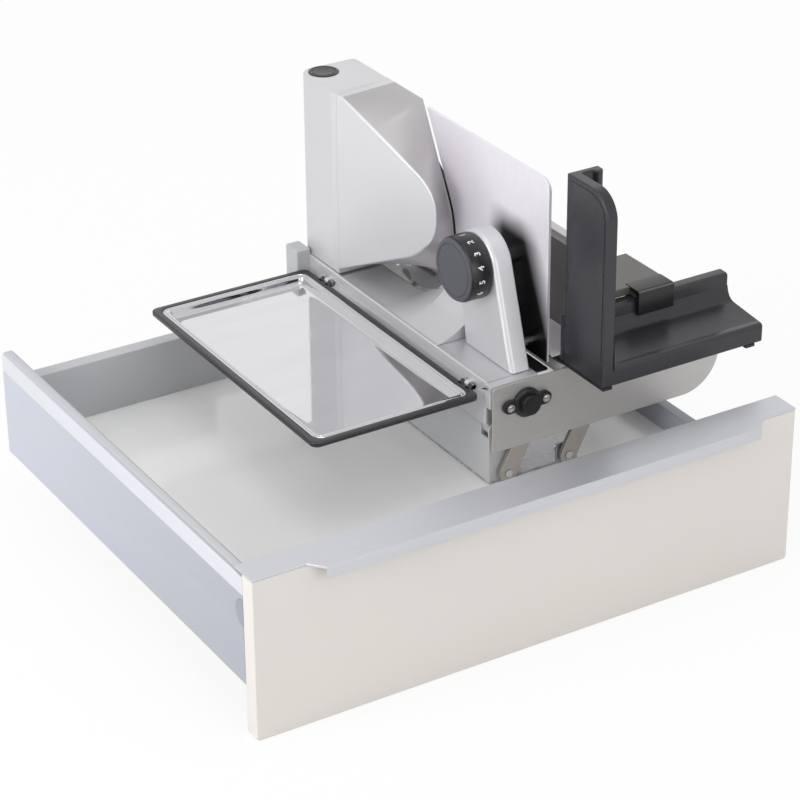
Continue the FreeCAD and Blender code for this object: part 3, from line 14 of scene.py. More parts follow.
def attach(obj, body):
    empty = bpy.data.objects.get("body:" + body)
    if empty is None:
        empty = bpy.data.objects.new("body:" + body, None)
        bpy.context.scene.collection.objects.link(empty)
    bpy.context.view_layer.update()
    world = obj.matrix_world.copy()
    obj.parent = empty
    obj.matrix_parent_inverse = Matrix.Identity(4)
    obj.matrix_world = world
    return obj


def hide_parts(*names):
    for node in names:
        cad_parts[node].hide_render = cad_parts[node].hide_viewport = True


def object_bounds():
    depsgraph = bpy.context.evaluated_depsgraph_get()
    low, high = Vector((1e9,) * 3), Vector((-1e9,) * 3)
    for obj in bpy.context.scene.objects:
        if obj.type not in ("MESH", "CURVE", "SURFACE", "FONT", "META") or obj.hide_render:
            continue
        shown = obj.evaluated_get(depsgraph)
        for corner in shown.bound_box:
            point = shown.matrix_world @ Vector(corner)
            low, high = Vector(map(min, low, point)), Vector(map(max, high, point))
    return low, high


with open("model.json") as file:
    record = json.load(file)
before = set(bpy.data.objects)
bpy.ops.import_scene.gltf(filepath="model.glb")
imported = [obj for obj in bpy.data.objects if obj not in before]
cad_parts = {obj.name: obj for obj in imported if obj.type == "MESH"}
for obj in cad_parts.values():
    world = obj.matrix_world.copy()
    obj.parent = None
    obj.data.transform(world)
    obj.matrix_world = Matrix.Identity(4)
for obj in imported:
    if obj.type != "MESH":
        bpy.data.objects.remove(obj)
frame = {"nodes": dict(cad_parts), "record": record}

cad_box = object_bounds()
nodes = frame["nodes"]
slot_of = {part["node"]: part["material_slot"] for part in frame["record"]["subparts"]}
MM = 0.001

# %% [markdown]
# ## The camera
# The picture was taken from the left of the drawer's front, a little above it, with a long lens.
# A long lens keeps the drawer's edges nearly parallel, so the camera stands almost three metres
# away. Turning it about Z, then tilting it, then rolling it by half a degree gives the same view.

# %% The camera
SENSOR = 36.0
LENS = 127.52
CAMERA_PLACE = (-1.26747, -2.11473, 1.39250)
CAMERA_TURN, CAMERA_TILT, CAMERA_ROLL = -31.1261, 61.941, -0.48025


def turned(degrees, axis):
    return Matrix.Rotation(math.radians(degrees), 4, axis)


camera_data = bpy.data.cameras.new("camera")
camera_data.sensor_width = SENSOR
camera_data.lens = LENS
camera_data.clip_start = 0.05
camera = bpy.data.objects.new("camera", camera_data)
camera.matrix_world = (Matrix.Translation(CAMERA_PLACE) @ turned(CAMERA_TURN, "Z")
                       @ turned(CAMERA_TILT, "X") @ turned(CAMERA_ROLL, "Z"))
bpy.context.scene.collection.objects.link(camera)
bpy.context.scene.camera = camera
bpy.context.scene.view_settings.view_transform = "Standard"
print("camera", round(camera.location.length, 3), "m from the origin")

# %% [markdown]
# ## Writing shader maths
# A finish is a small network of nodes. Clicking it together is slow to read back, so this class
# lets Python expressions write it: a sum of two values adds a Math node and links both.

# %% Values and finishes


class Value:
    """One output of a shader node, which can be used in sums like a number."""

    def __init__(self, finish, socket):
        self.finish = finish
        self.socket = socket

    def __add__(self, other):
        return self.finish.node("Math", {"operation": "ADD"}, {0: self, 1: other})

    def __radd__(self, other):
        return self + other

    def __sub__(self, other):
        return self.finish.node("Math", {"operation": "SUBTRACT"}, {0: self, 1: other})

    def __rsub__(self, other):
        return self.finish.node("Math", {"operation": "SUBTRACT"}, {0: other, 1: self})

    def __mul__(self, other):
        return self.finish.node("Math", {"operation": "MULTIPLY"}, {0: self, 1: other})

    def __rmul__(self, other):
        return self * other


class Finish:
    """A material while it is being made."""

    def __init__(self, name, block=None):
        self.block = block or bpy.data.materials.new(name)
        self.block.use_nodes = True
        self.tree = self.block.node_tree

    def node(self, kind, settings=None, sockets=None, output=0):
        made = self.tree.nodes.new("ShaderNode" + kind)
        for name, value in (settings or {}).items():
            if name == "stops":
                ramp = made.color_ramp
                while len(ramp.elements) < len(value):
                    ramp.elements.new(1.0)
                for element, (position, grey) in zip(ramp.elements, value):
                    element.position = position
                    element.color = (grey, grey, grey, 1)
            else:
                setattr(made, name, value)
        for name, value in (sockets or {}).items():
            self.feed(made.inputs[name], value)
        return Value(self, made.outputs[output])

    def feed(self, socket, value):
        if isinstance(value, Value):
            self.tree.links.new(value.socket, socket)
        else:
            socket.default_value = value

    def set(self, name, value):
        self.feed(self.tree.nodes["Principled BSDF"].inputs[name], value)

    def noise(self, scale, detail=2.0, stretch=(1, 1, 1)):
        place = self.node("TexCoord", output=3)
        stretched = self.node("Mapping", {}, {"Vector": place, "Scale": stretch})
        return self.node("TexNoise", {}, {"Vector": stretched, "Scale": scale, "Detail": detail})

    def band(self, value, low, high):
        """Stretch the part of a value between low and high over 0 to 1."""
        return self.node("MapRange", {}, {0: value, 1: low, 2: high})

    def mix(self, share, first, second):
        return self.node("Mix", {"data_type": "RGBA"}, {0: share, 6: first, 7: second}, output=2)

    def relief(self, height, depth):
        """A bump whose height of 1 stands for a depth in metres."""
        return self.node("Bump", {}, {"Height": height, "Distance": depth, "Strength": 1.0})


def rgb(red, green, blue):
    """A colour as it is seen, from 0 to 255, in the renderer's linear numbers."""
    def linear(c):
        c = c / 255
        return c / 12.92 if c <= 0.04045 else ((c + 0.055) / 1.055) ** 2.4
    return (linear(red), linear(green), linear(blue), 1)


def shade(colour, share):
    """The same seen colour, lighter or darker."""
    return rgb(*(min(255, c * share) for c in colour))


print("shader helpers ready")

# %% [markdown]
# ## The studio
# The object stands on a white floor that runs out of the picture. A large soft lamp above on the
# left makes the main light, a weaker one lights the front, and a wide one stands at the back, where
# polished steel mirrors it. The floor and the sky look white to the camera, yet give the object
# only a plain light, so that pale surfaces keep their colour.

# %% The studio
SKY_LIGHT = 0.79
FLOOR_SIZE = 30.0
FLOOR_GAP = 0.5 * MM
FLOOR_WHITE = 0.88


def seen_straight(finish):
    """1 for rays that come from the camera, and 0 for light that bounces."""
    path = finish.node("LightPath").socket.node.outputs
    return Value(finish, path["Is Camera Ray"])


world = bpy.data.worlds.new("studio_sky")
bpy.context.scene.world = world
sky = Finish("studio_sky", world)
background = world.node_tree.nodes["Background"]
background.inputs["Color"].default_value = (1, 1, 1, 1)
sky.feed(background.inputs["Strength"], SKY_LIGHT + seen_straight(sky) * (1 - SKY_LIGHT))

bm = bmesh.new()
bmesh.ops.create_grid(bm, x_segments=1, y_segments=1, size=FLOOR_SIZE / 2)
bmesh.ops.translate(bm, verts=bm.verts, vec=(0, 0, cad_box[0].z - FLOOR_GAP))
floor_mesh = bpy.data.meshes.new("studio_floor")
bm.to_mesh(floor_mesh)
bm.free()
floor = bpy.data.objects.new("studio_floor", floor_mesh)
bpy.context.scene.collection.objects.link(floor)
paper = Finish("studio_paper")
paper.set("Base Color", shade((238, 238, 238), 1))
paper.set("Roughness", 0.9)
glow = paper.node("Emission", {}, {"Strength": 1.0})
soft = Value(paper, paper.tree.nodes["Principled BSDF"].outputs[0])
both = paper.node("MixShader", {}, {0: seen_straight(paper) * FLOOR_WHITE, 1: soft, 2: glow})
paper.feed(paper.tree.nodes["Material Output"].inputs["Surface"], both)
floor_mesh.materials.append(paper.block)


def lamp(name, place, size, watts):
    """A square soft lamp that points at the middle of the slicer."""
    data = bpy.data.lights.new(name, "AREA")
    data.size = size
    data.energy = watts
    light = bpy.data.objects.new(name, data)
    middle = Vector((0.05, 0, 0.12))
    light.location = place
    light.rotation_euler = (middle - Vector(place)).to_track_quat("-Z", "Y").to_euler()
    bpy.context.scene.collection.objects.link(light)


lamp("key_lamp", (-2.5, -0.2, 0.9), 1.4, 33)
lamp("front_lamp", (0.3, -2.9, 1.0), 1.6, 15)
lamp("rear_lamp", (1.5, 2.6, 1.7), 2.6, 6)
lamp("top_lamp", (-0.4, -0.2, 3.0), 1.6, 11)
print("floor at", round(floor_mesh.vertices[0].co.z, 4))

# %% [markdown]
# ## The finishes
# Twenty-three finishes cover the object. Each family has its own maker: cast silver paint, brushed
# and polished sheet, moulded plastic, and the drawer's lacquer. Fine noise gives the grain, slow
# noise the clouds that no real surface lacks, and both drive colour, roughness and relief.

# %% Metals


def cast_silver(name, colour, metallic=0.55):
    """Silver paint on a casting: fine flakes in a satin coat."""
    f = Finish(name)
    flakes = f.noise(1400, 1)
    clouds = f.noise(7, 3)
    f.set("Base Color", f.mix(flakes * 0.6 + clouds * 0.4, shade(colour, 0.95), shade(colour, 1.04)))
    f.set("Metallic", metallic)
    f.set("Roughness", 0.34 + flakes * 0.10 + clouds * 0.05)
    f.set("Normal", f.relief(flakes, 0.00002))
    return f.block


def bracket_shade(f):
    """1 where the plate lies close behind the dial's bracket, for a painted shadow and painted reflection of
    unlit parts there.
    """
    place = f.node("SeparateXYZ", {}, {0: f.node("TexCoord", output=3)}).socket.node.outputs
    x, y, z = (Value(f, part) for part in place)
    beside = f.band(y - z * 0.45, -0.205, -0.172)
    below = f.band(z, 0.272, 0.246)
    return beside * below * f.band(y, 0.0, -0.025) * f.band(x, 0.1145, 0.1130)


def brushed(name, colour, along, roughness=0.26, metallic=0.85, depth=0.00001, painted_shade=None):
    """Sheet metal brushed along one axis: long fine lines, and slow clouds of handling."""
    f = Finish(name)
    stretch = tuple(0.015 if axis == along else 1.0 for axis in "XYZ")
    lines = f.noise(1600, 2, stretch)
    clouds = f.noise(6, 3)
    tone = f.mix(lines * 0.7 + clouds * 0.3, shade(colour, 0.93), shade(colour, 1.05))
    # painted shade: where the mask is 1, the colour turns almost black, standing in for a shadow and
    # reflection
    if painted_shade:
        tone = f.mix(painted_shade(f), tone, rgb(14, 12, 13))
    f.set("Base Color", tone)
    f.set("Metallic", metallic)
    f.set("Roughness", roughness + lines * 0.12 + clouds * 0.06)
    f.set("Normal", f.relief(lines, depth))
    return f.block


def polished(name, colour, roughness=0.04):
    """Pressed and polished steel, with faint wipe marks."""
    f = Finish(name)
    wipes = f.noise(40, 4, (0.3, 1, 1))
    f.set("Base Color", f.mix(wipes, shade(colour, 0.97), shade(colour, 1.02)))
    f.set("Metallic", 1.0)
    f.set("Roughness", roughness + f.band(wipes, 0.5, 0.8) * 0.08)
    f.set("Normal", f.relief(f.noise(25, 2), 0.00002))
    return f.block


def zinc(name, colour):
    """Galvanised sheet: crystals of slightly different greys."""
    f = Finish(name)
    place = f.node("TexCoord", output=3)
    crystals = f.node("TexVoronoi", {}, {"Vector": place, "Scale": 160.0}, output=1)
    grey = f.node("SeparateColor", {}, {0: crystals})
    f.set("Base Color", f.mix(grey, shade(colour, 0.88), shade(colour, 1.08)))
    f.set("Metallic", 0.8)
    f.set("Roughness", 0.34 + grey * 0.18)
    f.set("Normal", f.relief(grey, 0.00001))
    return f.block


print("metals ready")

# %% Plastics, lacquer and rubber


def moulded(name, colour, roughness=0.36, grain=0.00003, coat=0.0):
    """Moulded plastic: a fine spark-eroded grain, and a slight unevenness of the gloss."""
    f = Finish(name)
    pores = f.noise(1900, 2)
    clouds = f.noise(11, 3)
    f.set("Base Color", f.mix(pores * 0.5 + clouds * 0.5, shade(colour, 0.9), shade(colour, 1.1)))
    f.set("Roughness", roughness + clouds * 0.08 + pores * 0.04)
    f.set("Coat Weight", coat)
    f.set("Normal", f.relief(pores, grain))
    return f.block


def lacquered(name, colour, roughness=0.3, peel=0.00004, scale=260, front_shade=0.0, rim=False):
    """Sprayed lacquer: almost even, with the long waves that painters call orange peel.

    A painted shade darkens it towards the drawer's front, and a rim is the tall side's pale upper edge."""
    f = Finish(name)
    waves = f.noise(scale, 2)
    clouds = f.noise(3, 3)
    even = f.mix(clouds, shade(colour, 0.985), shade(colour, 1.012))
    place = f.node("SeparateXYZ", {}, {0: f.node("TexCoord", output=3)}).socket.node.outputs
    # painted shade: the colour darkens towards the drawer's front by the given share
    shaded_tone = f.mix(f.band(Value(f, place[1]), 0.25, -0.25) * front_shade, even, shade(colour, 0.7))
    if rim:
        outside = f.band(Value(f, place[0]), SIDE_OUTER + 0.0014, SIDE_OUTER + 0.0008)
        pale = f.band(Value(f, place[2]), SIDE_TOP - RIM_DEPTH, SIDE_TOP - RIM_DEPTH + 0.0006) * outside
        on_top = f.band(Value(f, place[2]), SIDE_TOP - 0.0006, SIDE_TOP - 0.0003)
        shaded_tone = f.mix(on_top, f.mix(pale, shaded_tone, rgb(200, 201, 206)), rgb(188, 189, 192))
    f.set("Base Color", shaded_tone)
    f.set("Roughness", roughness + clouds * 0.06 + waves * 0.03)
    f.set("Normal", f.relief(waves, peel))
    return f.block


side_corners = [Vector(corner) for corner in nodes["drawer_side_left"].bound_box]
SIDE_TOP = max(corner.z for corner in side_corners)
SIDE_OUTER = min(corner.x for corner in side_corners)
RIM_DEPTH = 20 * MM

FINISHES = {
    "front_lacquer": lacquered("front_lacquer", (214, 209, 204)),
    # the tall side's enamel has half a share of painted shade towards the front, and its pale rim
    "drawer_enamel": lacquered("drawer_enamel", (180, 184, 194), 0.36, 0.00003, 500, 0.5, True),
    "floor_white": lacquered("floor_white", (250, 250, 249), 0.10, 0.00001, 90),
    "back_grey": lacquered("back_grey", (184, 185, 188), 0.36, 0.00003, 500),
    "handle_aluminium": brushed("handle_aluminium", (206, 207, 212), "X", 0.32, 0.8),
    "zinc_steel": zinc("zinc_steel", (190, 190, 194)),
    "pedestal_grey": lacquered("pedestal_grey", (196, 197, 198), 0.34, 0.00003, 420),
    "arm_steel": brushed("arm_steel", (182, 176, 170), "Z", 0.28),
    "silver_cast": cast_silver("silver_cast", (211, 211, 214)),
    "satin_steel": brushed("satin_steel", (236, 232, 239), "Z", 0.3, 0.5),
    "deck_steel": brushed("deck_steel", (198, 196, 195), "X", 0.32, 0.7),
    "polished_steel": polished("polished_steel", (216, 216, 218)),
    "turned_steel": brushed("turned_steel", (204, 204, 206), "Y", 0.16, 1.0),
    "charcoal_plastic": moulded("charcoal_plastic", (44, 44, 49), 0.22),
    "black_plastic": moulded("black_plastic", (26, 26, 29), 0.24, 0.00001),
    "dial_plastic": moulded("dial_plastic", (44, 45, 50), 0.36),
    "dial_disc": moulded("dial_disc", (74, 75, 82), 0.42),
    "pusher_plastic": moulded("pusher_plastic", (90, 86, 82), 0.26),
    "grey_plastic": moulded("grey_plastic", (176, 177, 180), 0.4),
    "natural_nylon": moulded("natural_nylon", (228, 225, 216), 0.45),
    "return_rubber": moulded("return_rubber", (60, 60, 60), 0.7),
    "bronze": brushed("bronze", (176, 132, 84), "X", 0.3, 1.0),
    "board_green": moulded("board_green", (34, 92, 60), 0.34),
}
for name, slot in slot_of.items():
    for place in nodes[name].material_slots:
        place.material = FINISHES[slot]
# the stop plate's steel, with a painted shadow and painted reflection beside the bracket
SHADED_PLATE_STEEL = brushed("plate_steel", (236, 232, 239), "Z", 0.3, 0.5, painted_shade=bracket_shade)
# a darker copy of the cast silver, for a painted shade on the housing's flanks
SHADED_FLANK_SILVER = cast_silver("flank_silver", (176, 173, 175), 0.3)
COVER_GREY = moulded("cover_grey", (140, 144, 156), 0.4)
PRINT_WHITE = moulded("print_white", (225, 225, 225), 0.5)
print(len(FINISHES), "finishes on", len(slot_of), "sub-parts")

# %% [markdown]
# ## Easing the edges
# No sheet, casting or moulding has a perfectly sharp edge: it has a small round that catches the
# light, and without it a render looks like a drawing. A sub-part whose shape is right is copied,
# its loose triangles are merged into whole faces, and a Bevel modifier rounds every sharp edge.
# Its hardened normals keep the flat faces flat.

# %% Easing helpers
EASE_ANGLE = math.radians(28)


def ease(piece, width, segments=2):
    """Round every sharp edge of a piece by a width in millimetres."""
    bevel = piece.modifiers.new("eased_edges", "BEVEL")
    bevel.width = width * MM
    bevel.segments = segments
    bevel.limit_method = "ANGLE"
    bevel.angle_limit = EASE_ANGLE
    bevel.use_clamp_overlap = False
    bevel.harden_normals = True
    bevel.miter_outer = "MITER_ARC"


def piece_from(bm, name, body, slot, stands_for=(), width=0.0, segments=2):
    """Turn a bmesh into a finished piece that rides on a body."""
    bmesh.ops.remove_doubles(bm, verts=bm.verts, dist=0.002 * MM)
    bmesh.ops.recalc_face_normals(bm, faces=bm.faces)
    mesh = bpy.data.meshes.new(name)
    bm.to_mesh(mesh)
    bm.free()
    mesh.shade_smooth()
    mesh.set_sharp_from_angle(angle=EASE_ANGLE)
    piece = bpy.data.objects.new(name, mesh)
    bpy.context.scene.collection.objects.link(piece)
    mesh.materials.append(FINISHES[slot])
    if width:
        ease(piece, width, segments)
    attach(piece, body)
    if stands_for:
        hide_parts(*stands_for)
    return piece


def body_with(node):
    return next(b for b, members in frame["record"]["behaviour"]["bodies"].items() if node in members)


def eased_copy(node, width, segments=2):
    """A copy of a sub-part with whole faces and rounded edges, which is shown in its stead."""
    bm = bmesh.new()
    bm.from_mesh(nodes[node].data)
    bmesh.ops.remove_doubles(bm, verts=bm.verts, dist=0.005 * MM)
    bmesh.ops.dissolve_limit(bm, angle_limit=math.radians(0.8), verts=bm.verts, edges=bm.edges)
    return piece_from(bm, node + "_eased", body_with(node), slot_of[node], [node], width, segments)


EASED = {
    "drawer_front_panel": 1.2, "front_handle_strip": 0.5, "drawer_side_left": 0.8,
    "drawer_side_right": 0.8, "drawer_floor_panel": 0.6, "drawer_back_panel": 0.8,
    "front_fixing_cover": 0.5, "front_angle_plates": 0.4, "runner_clips": 0.8,
    "floor_base_plate": 0.5, "hinge_pedestal": 0.6, "swing_arms_left": 0.5, "swing_arms_right": 0.5,
    "base_casting": 0.3, "casting_bottom_cover": 0.4, 
    "adjuster_bracket": 1.7, "slice_chute": 0.8, "stop_plate": 0.5,
    "deck_front_plate": 0.4, "deck_rear_plate": 0.4, "carriage_rails": 0.6,
    "lock_flange": 0.6, "carriage_food_plate": 0.3, "carriage_shoes": 0.6, "carriage_body": 1.6,
    "food_pusher": 0.9,
}
eased = {node: eased_copy(node, width, 3 if width > 1 else 2) for node, width in EASED.items()}
# the stop plate takes the steel with the painted shadow
eased["stop_plate"].data.materials[0] = SHADED_PLATE_STEEL
eased["front_fixing_cover"].data.materials[0] = COVER_GREY
print(len(EASED), "sub-parts with eased edges")

# %% [markdown]
# ## Shapes from outlines
# Most pieces here are an outline that was pushed out, pressed or turned. These helpers round the
# corners of an outline, push it along an axis, and skin a row of outlines like the ribs of a boat.

# %% Outline helpers


def rounded(corners, radii, steps=6):
    """A closed outline whose corners are rounded, each by its own radius."""
    points = []
    count = len(corners)
    for i, (corner, radius) in enumerate(zip(corners, radii)):
        here = Vector(corner)
        back = (Vector(corners[i - 1]) - here).normalized()
        ahead = (Vector(corners[(i + 1) % count]) - here).normalized()
        if not radius:
            points.append(here)
            continue
        half = back.angle(ahead) / 2
        reach = radius / math.tan(half)
        centre = here + (back + ahead).normalized() * (radius / math.sin(half))
        start = here + back * reach - centre
        turn = (here + ahead * reach - centre)
        sweep = start.angle_signed(turn)
        for k in range(steps + 1):
            share = k / steps
            angle = -sweep * share
            spin = Matrix.Rotation(angle, 2)
            points.append(centre + spin @ start)
    return points


def on_plane(axis, point, depth):
    """A point of an outline, in millimetres, set into space across the X, Y or Z axis."""
    a, b = point
    return Vector({"X": (depth, a, b), "Y": (a, depth, b), "Z": (a, b, depth)}[axis]) * MM


def skin(bm, rows, cap_first=True, cap_last=True):
    """Join a row of closed outlines with the same number of points, and close the ends."""
    rings = [[bm.verts.new(p) for p in row] for row in rows]
    for first, second in zip(rings, rings[1:]):
        for i in range(len(first)):
            bm.faces.new((first[i - 1], first[i], second[i], second[i - 1]))
    if cap_first:
        bm.faces.new(rings[0])
    if cap_last:
        bm.faces.new(rings[-1])


def prism(bm, axis, points, low, high):
    """Push an outline along an axis, from low to high."""
    skin(bm, [[on_plane(axis, p, depth) for p in points] for depth in (low, high)])


def block(bm, x, y, z):
    """A plain block, as the start of a longer shape."""
    prism(bm, "Z", [(x[0], y[0]), (x[1], y[0]), (x[1], y[1]), (x[0], y[1])], *z)


def turning(bm, axis, centre, profile, steps=96):
    """Turn a profile of (distance along the axis, radius) pairs about an axis through a centre."""
    rows = []
    for depth, radius in profile:
        rows.append([on_plane(axis, (centre[0] + radius * math.cos(2 * math.pi * k / steps),
                                     centre[1] + radius * math.sin(2 * math.pi * k / steps)), depth)
                     for k in range(steps)])
    skin(bm, rows)


print("outline helpers ready")

# %% [markdown]
# ## The catch tray
# Slices fall into a pressed steel pan that lies in a plastic frame. The pan's edge is rolled twice,
# so it shows two bright lines all round, and its bottom drops in a soft curve. Pressing is easy to
# copy: a rounded face is inset step by step, and every step goes up or down a little.

# %% The tray
TRAY_X = (-147.0, 36.8)
TRAY_Y = (-104.0, 232.0)
TRAY_TOP = 120.0
TRAY_DEPTH = 5.0
TRAY_RIM = 7.0
HANG_AXIS = (40.5, 120.0)


def corners_of(x, y, inwards=0.0):
    return [(x[0] + inwards, y[0] + inwards), (x[1] - inwards, y[0] + inwards),
            (x[1] - inwards, y[1] - inwards), (x[0] + inwards, y[1] - inwards)]


PAN_STEPS = ((0, 1.2), (0.3, 0.5), (0.9, 0.1), (1.6, 0.1), (2.2, 0.5), (2.7, 1.2), (3.2, 1.3), (3.7, 0.8),
             (4.3, 0.3), (5.0, 0.2), (5.7, 0.5), (6.4, 1.4), (7.1, 3.0), (7.9, 5.0), (8.9, 6.6),
             (10.2, 7.6), (12.5, 8.1), (16, 8.2), (22, 8.2))


def pan_row(inwards, drop):
    outline = rounded(corners_of(TRAY_X, TRAY_Y, TRAY_RIM + inwards), [max(11 - inwards, 4)] * 4, 8)
    return [on_plane("Z", p, TRAY_TOP - drop) for p in outline]


bm = bmesh.new()
skin(bm, [pan_row(*step) for step in PAN_STEPS], False, True)
pan = piece_from(bm, "tray_pan_pressed", "tray", "polished_steel", ["tray_pan"])

bm = bmesh.new()


def frame_row(inwards, z):
    radius = 8 - inwards if inwards < 4 else 11 + (TRAY_RIM - inwards)
    return [on_plane("Z", p, z) for p in rounded(corners_of(TRAY_X, TRAY_Y, inwards), [radius] * 4, 8)]


rows = [frame_row(i, TRAY_TOP - drop) for i, drop in (
    (6.6, TRAY_DEPTH), (0.6, TRAY_DEPTH), (0.15, TRAY_DEPTH - 0.4), (0, TRAY_DEPTH - 0.9), (0, 1.4),
    (0.2, 0.7), (0.6, 0.25), (1.2, 0), (5.8, 0), (6.3, 0.2), (6.6, 0.7), (6.6, TRAY_DEPTH - 0.01))]
skin(bm, rows, False, False)
for front in (-86.4, -73.6, 183.6, 196.4):
    outline = rounded([(33.5, 117.2), (43.2, 117.2), (43.2, 121.9), (38.4, 121.9), (36.6, 120.0),
                       (33.5, 120.0)], [0, 2.2, 2.2, 1.6, 0.5, 0], 5)
    prism(bm, "Y", outline, front, front + 6)
piece_from(bm, "tray_frame_moulded", "tray", "charcoal_plastic", ["tray_frame"])
print("tray", round(TRAY_X[1] - TRAY_X[0], 1), "by", round(TRAY_Y[1] - TRAY_Y[0], 1), "mm")

# %% [markdown]
# ## The motor housing
# The housing is a casting that leans over the blade: its outer face is a flat plateau, turned a
# little towards the back, and soft flanks run from the plateau to the sharp line beside the blade.
# Each flank is ruled between two outlines that have the same number of points, and the plateau's
# edge is rounded by a short curve through three rows of points.

# %% The motor housing
HOUSING_BACK = 254.0
PLATEAU_BACK = 182.0
PLATEAU_X = 47.0
PLATEAU_LEAN = 0.232
BLADE_FACE = 112.0
FACE_X = 109.5
BLADE_AXIS = (146.0, 202.0)


def between(first, last, count):
    """Points from first up to, but not including, last."""
    a, b = Vector(first), Vector(last)
    return [a.lerp(b, k / count) for k in range(count)]


def arc(centre, radius, start, end, count):
    """Points on an arc, from one angle in degrees up to, but not including, the other."""
    angles = [math.radians(start + (end - start) * k / count) for k in range(count)]
    return [Vector((centre[0] + radius * math.cos(a), centre[1] + radius * math.sin(a))) for a in angles]


def spline(points, count):
    """Points of a smooth curve that starts at the first point and bends towards the middle one."""
    a, b, c = (Vector(p) for p in points)
    shares = [k / count for k in range(count)]
    return [a.lerp(b, s).lerp(b.lerp(c, s), s) for s in shares]


NOSE = 16
plateau = (between((190, 331), (173.5, 328.6), 3) + between((173.5, 328.6), (74.8, 280.7), NOSE)
           + spline([(74.8, 280.7), (46, 269), (43.6, 243.6)], NOSE)
           + spline([(43.6, 243.6), (42, 214), (60.6, 200.9)], NOSE)
           + spline([(60.6, 200.9), (69, 191), (84, 183)], NOSE // 2)
           + between((84, 183), (178.1, 137.8), NOSE) + [Vector((190, 132.5))])
edge = (between((190, 331.8), (173.5, 331.8), 3) + between((173.5, 331.8), (119.9, 331.8), NOSE // 2)
        + between((119.9, 331.8), (97.9, 290.5), NOSE // 2) + between((97.9, 290.5), (73.2, 244), NOSE)
        + arc(BLADE_AXIS, 84.0, 150, 183, NOSE) + arc(BLADE_AXIS, 84.0, 183, 210, NOSE // 2)
        + between((73.25, 160), (178.1, 136), NOSE) + [Vector((190, 132.5))])
middle = Vector((125, 232))


def plateau_point(p, inwards=0.0):
    point = p.lerp(middle, inwards)
    return Vector((PLATEAU_X + PLATEAU_LEAN * (PLATEAU_BACK - point.x), point.x, point.y))


rows = []
ROUND_IN, ROUND_OUT = 1.6, 1.8
for share in (0, 0.2, 0.4, 0.6, 0.8, 1.0):
    row = []
    for p, q in zip(plateau, edge):
        corner = plateau_point(p)
        inner_point = plateau_point(p, ROUND_IN / max(ROUND_IN, (middle - p).length))
        far = Vector((FACE_X, q.x, q.y))
        outer_point = corner.lerp(far, min(0.6, ROUND_OUT / max(1.0, (far - corner).length)))
        row.append(inner_point.lerp(corner, share).lerp(corner.lerp(outer_point, share), share) * MM)
    rows.append(row)
for share in (0.5, 1.0):
    row = []
    for p, q, start in zip(plateau, edge, rows[5]):
        row.append(start.lerp(Vector((FACE_X, q.x, q.y)) * MM, share))
    rows.append(row)
rows.append([Vector((FACE_X + 1.2, q.x, q.y)) * MM for q in edge])
rows.append([Vector((BLADE_FACE - 0.6, q.x, q.y)) * MM for q in edge])
bm = bmesh.new()
skin(bm, rows)
nose = piece_from(bm, "motor_housing_nose", "slicer_unit", "silver_cast", ["motor_housing"])
# the flank faces take the darker silver: a painted shade
nose.data.materials.append(SHADED_FLANK_SILVER)
for face in nose.data.polygons:
    ahead = face.center.x / MM - (PLATEAU_X + PLATEAU_LEAN * (PLATEAU_BACK - face.center.y / MM))
    if ahead > 1.5 and face.center.y / MM < PLATEAU_BACK - 8:
        face.material_index = 1

bm = bmesh.new()
back = rounded([(PLATEAU_X, PLATEAU_BACK - 1), (BLADE_FACE, PLATEAU_BACK - 1), (BLADE_FACE, HOUSING_BACK),
                (PLATEAU_X, HOUSING_BACK)], [0, 0, 5, 9], 8)


def back_row(z, inwards):
    centre = Vector(((PLATEAU_X + BLADE_FACE) / 2, (PLATEAU_BACK + HOUSING_BACK) / 2))
    half = Vector(((BLADE_FACE - PLATEAU_X) / 2, (HOUSING_BACK - PLATEAU_BACK) / 2))
    size = [(h - inwards) / h for h in half]
    return [on_plane("Z", (centre.x + (p.x - centre.x) * size[0],
                           centre.y + (p.y - centre.y) * size[1]), z) for p in back]


skin(bm, [back_row(z, i) for z, i in ((131.2, 0.4), (131.6, 0), (329, 0), (330.4, 0.3), (331.5, 1.0),
                                      (332, 2.2))])
piece_from(bm, "motor_housing_back", "slicer_unit", "silver_cast")
bm = bmesh.new()
block(bm, (44.2, 99), (-109.5, -99), (123, 129))
block(bm, (44.2, 55), (-109.5, -99), (104, 123))
piece_from(bm, "casting_corner_ledge", "slicer_unit", "silver_cast", (), 0.5)

# a black strip under the stop plate's lower edge, beside the bracket: a painted shadow, a black sheet where
# there is only shade
bm = bmesh.new()
block(bm, (98.8, 117), (-100, -30), (123.5, 126))
piece_from(bm, "crumb_lip", "slicer_unit", "black_plastic", (), 0.4)

bm = bmesh.new()
block(bm, (29, 45), (238, 262), (88, 138))
piece_from(bm, "mains_box_moulded", "slicer_unit", "grey_plastic", ["mains_box"], 1.2, 3)
print("housing with", len(plateau), "points round its plateau")

# %% [markdown]
# ## The thickness dial
# A round knob sets how thick the slices come out. Its rim is black and carries the numbers, which
# turn past a mark, and its face is a grey disc behind a groove. Both are turned shapes. The numbers
# start as text, become thin meshes, and are wrapped on the rim by bending their points.

# %% The dial
DIAL_AXIS = (-34.0, 221.0)
DIAL_RADIUS = 33.0

bm = bmesh.new()
turning(bm, "X", DIAL_AXIS, [(57, 5), (57, 26), (74, 27), (74, 31.4), (73.4, 32.6), (72.6, 33), (54.2, 33), (52.4, 32.5),
                             (51.3, 31.4), (51, 30.2)], 144)
piece_from(bm, "dial_knob_turned", "dial", "black_plastic", ["dial_knob"])

bm = bmesh.new()
turning(bm, "X", DIAL_AXIS, [(52, 31.4), (50.4, 31.3), (49.8, 30.8), (49.5, 30.0), (49.5, 27.4),
                             (50.1, 27.0), (50.1, 26.3), (49.5, 25.9), (49.5, 0.6)], 96)
piece_from(bm, "dial_face_turned", "dial", "dial_disc", ["dial_face"])

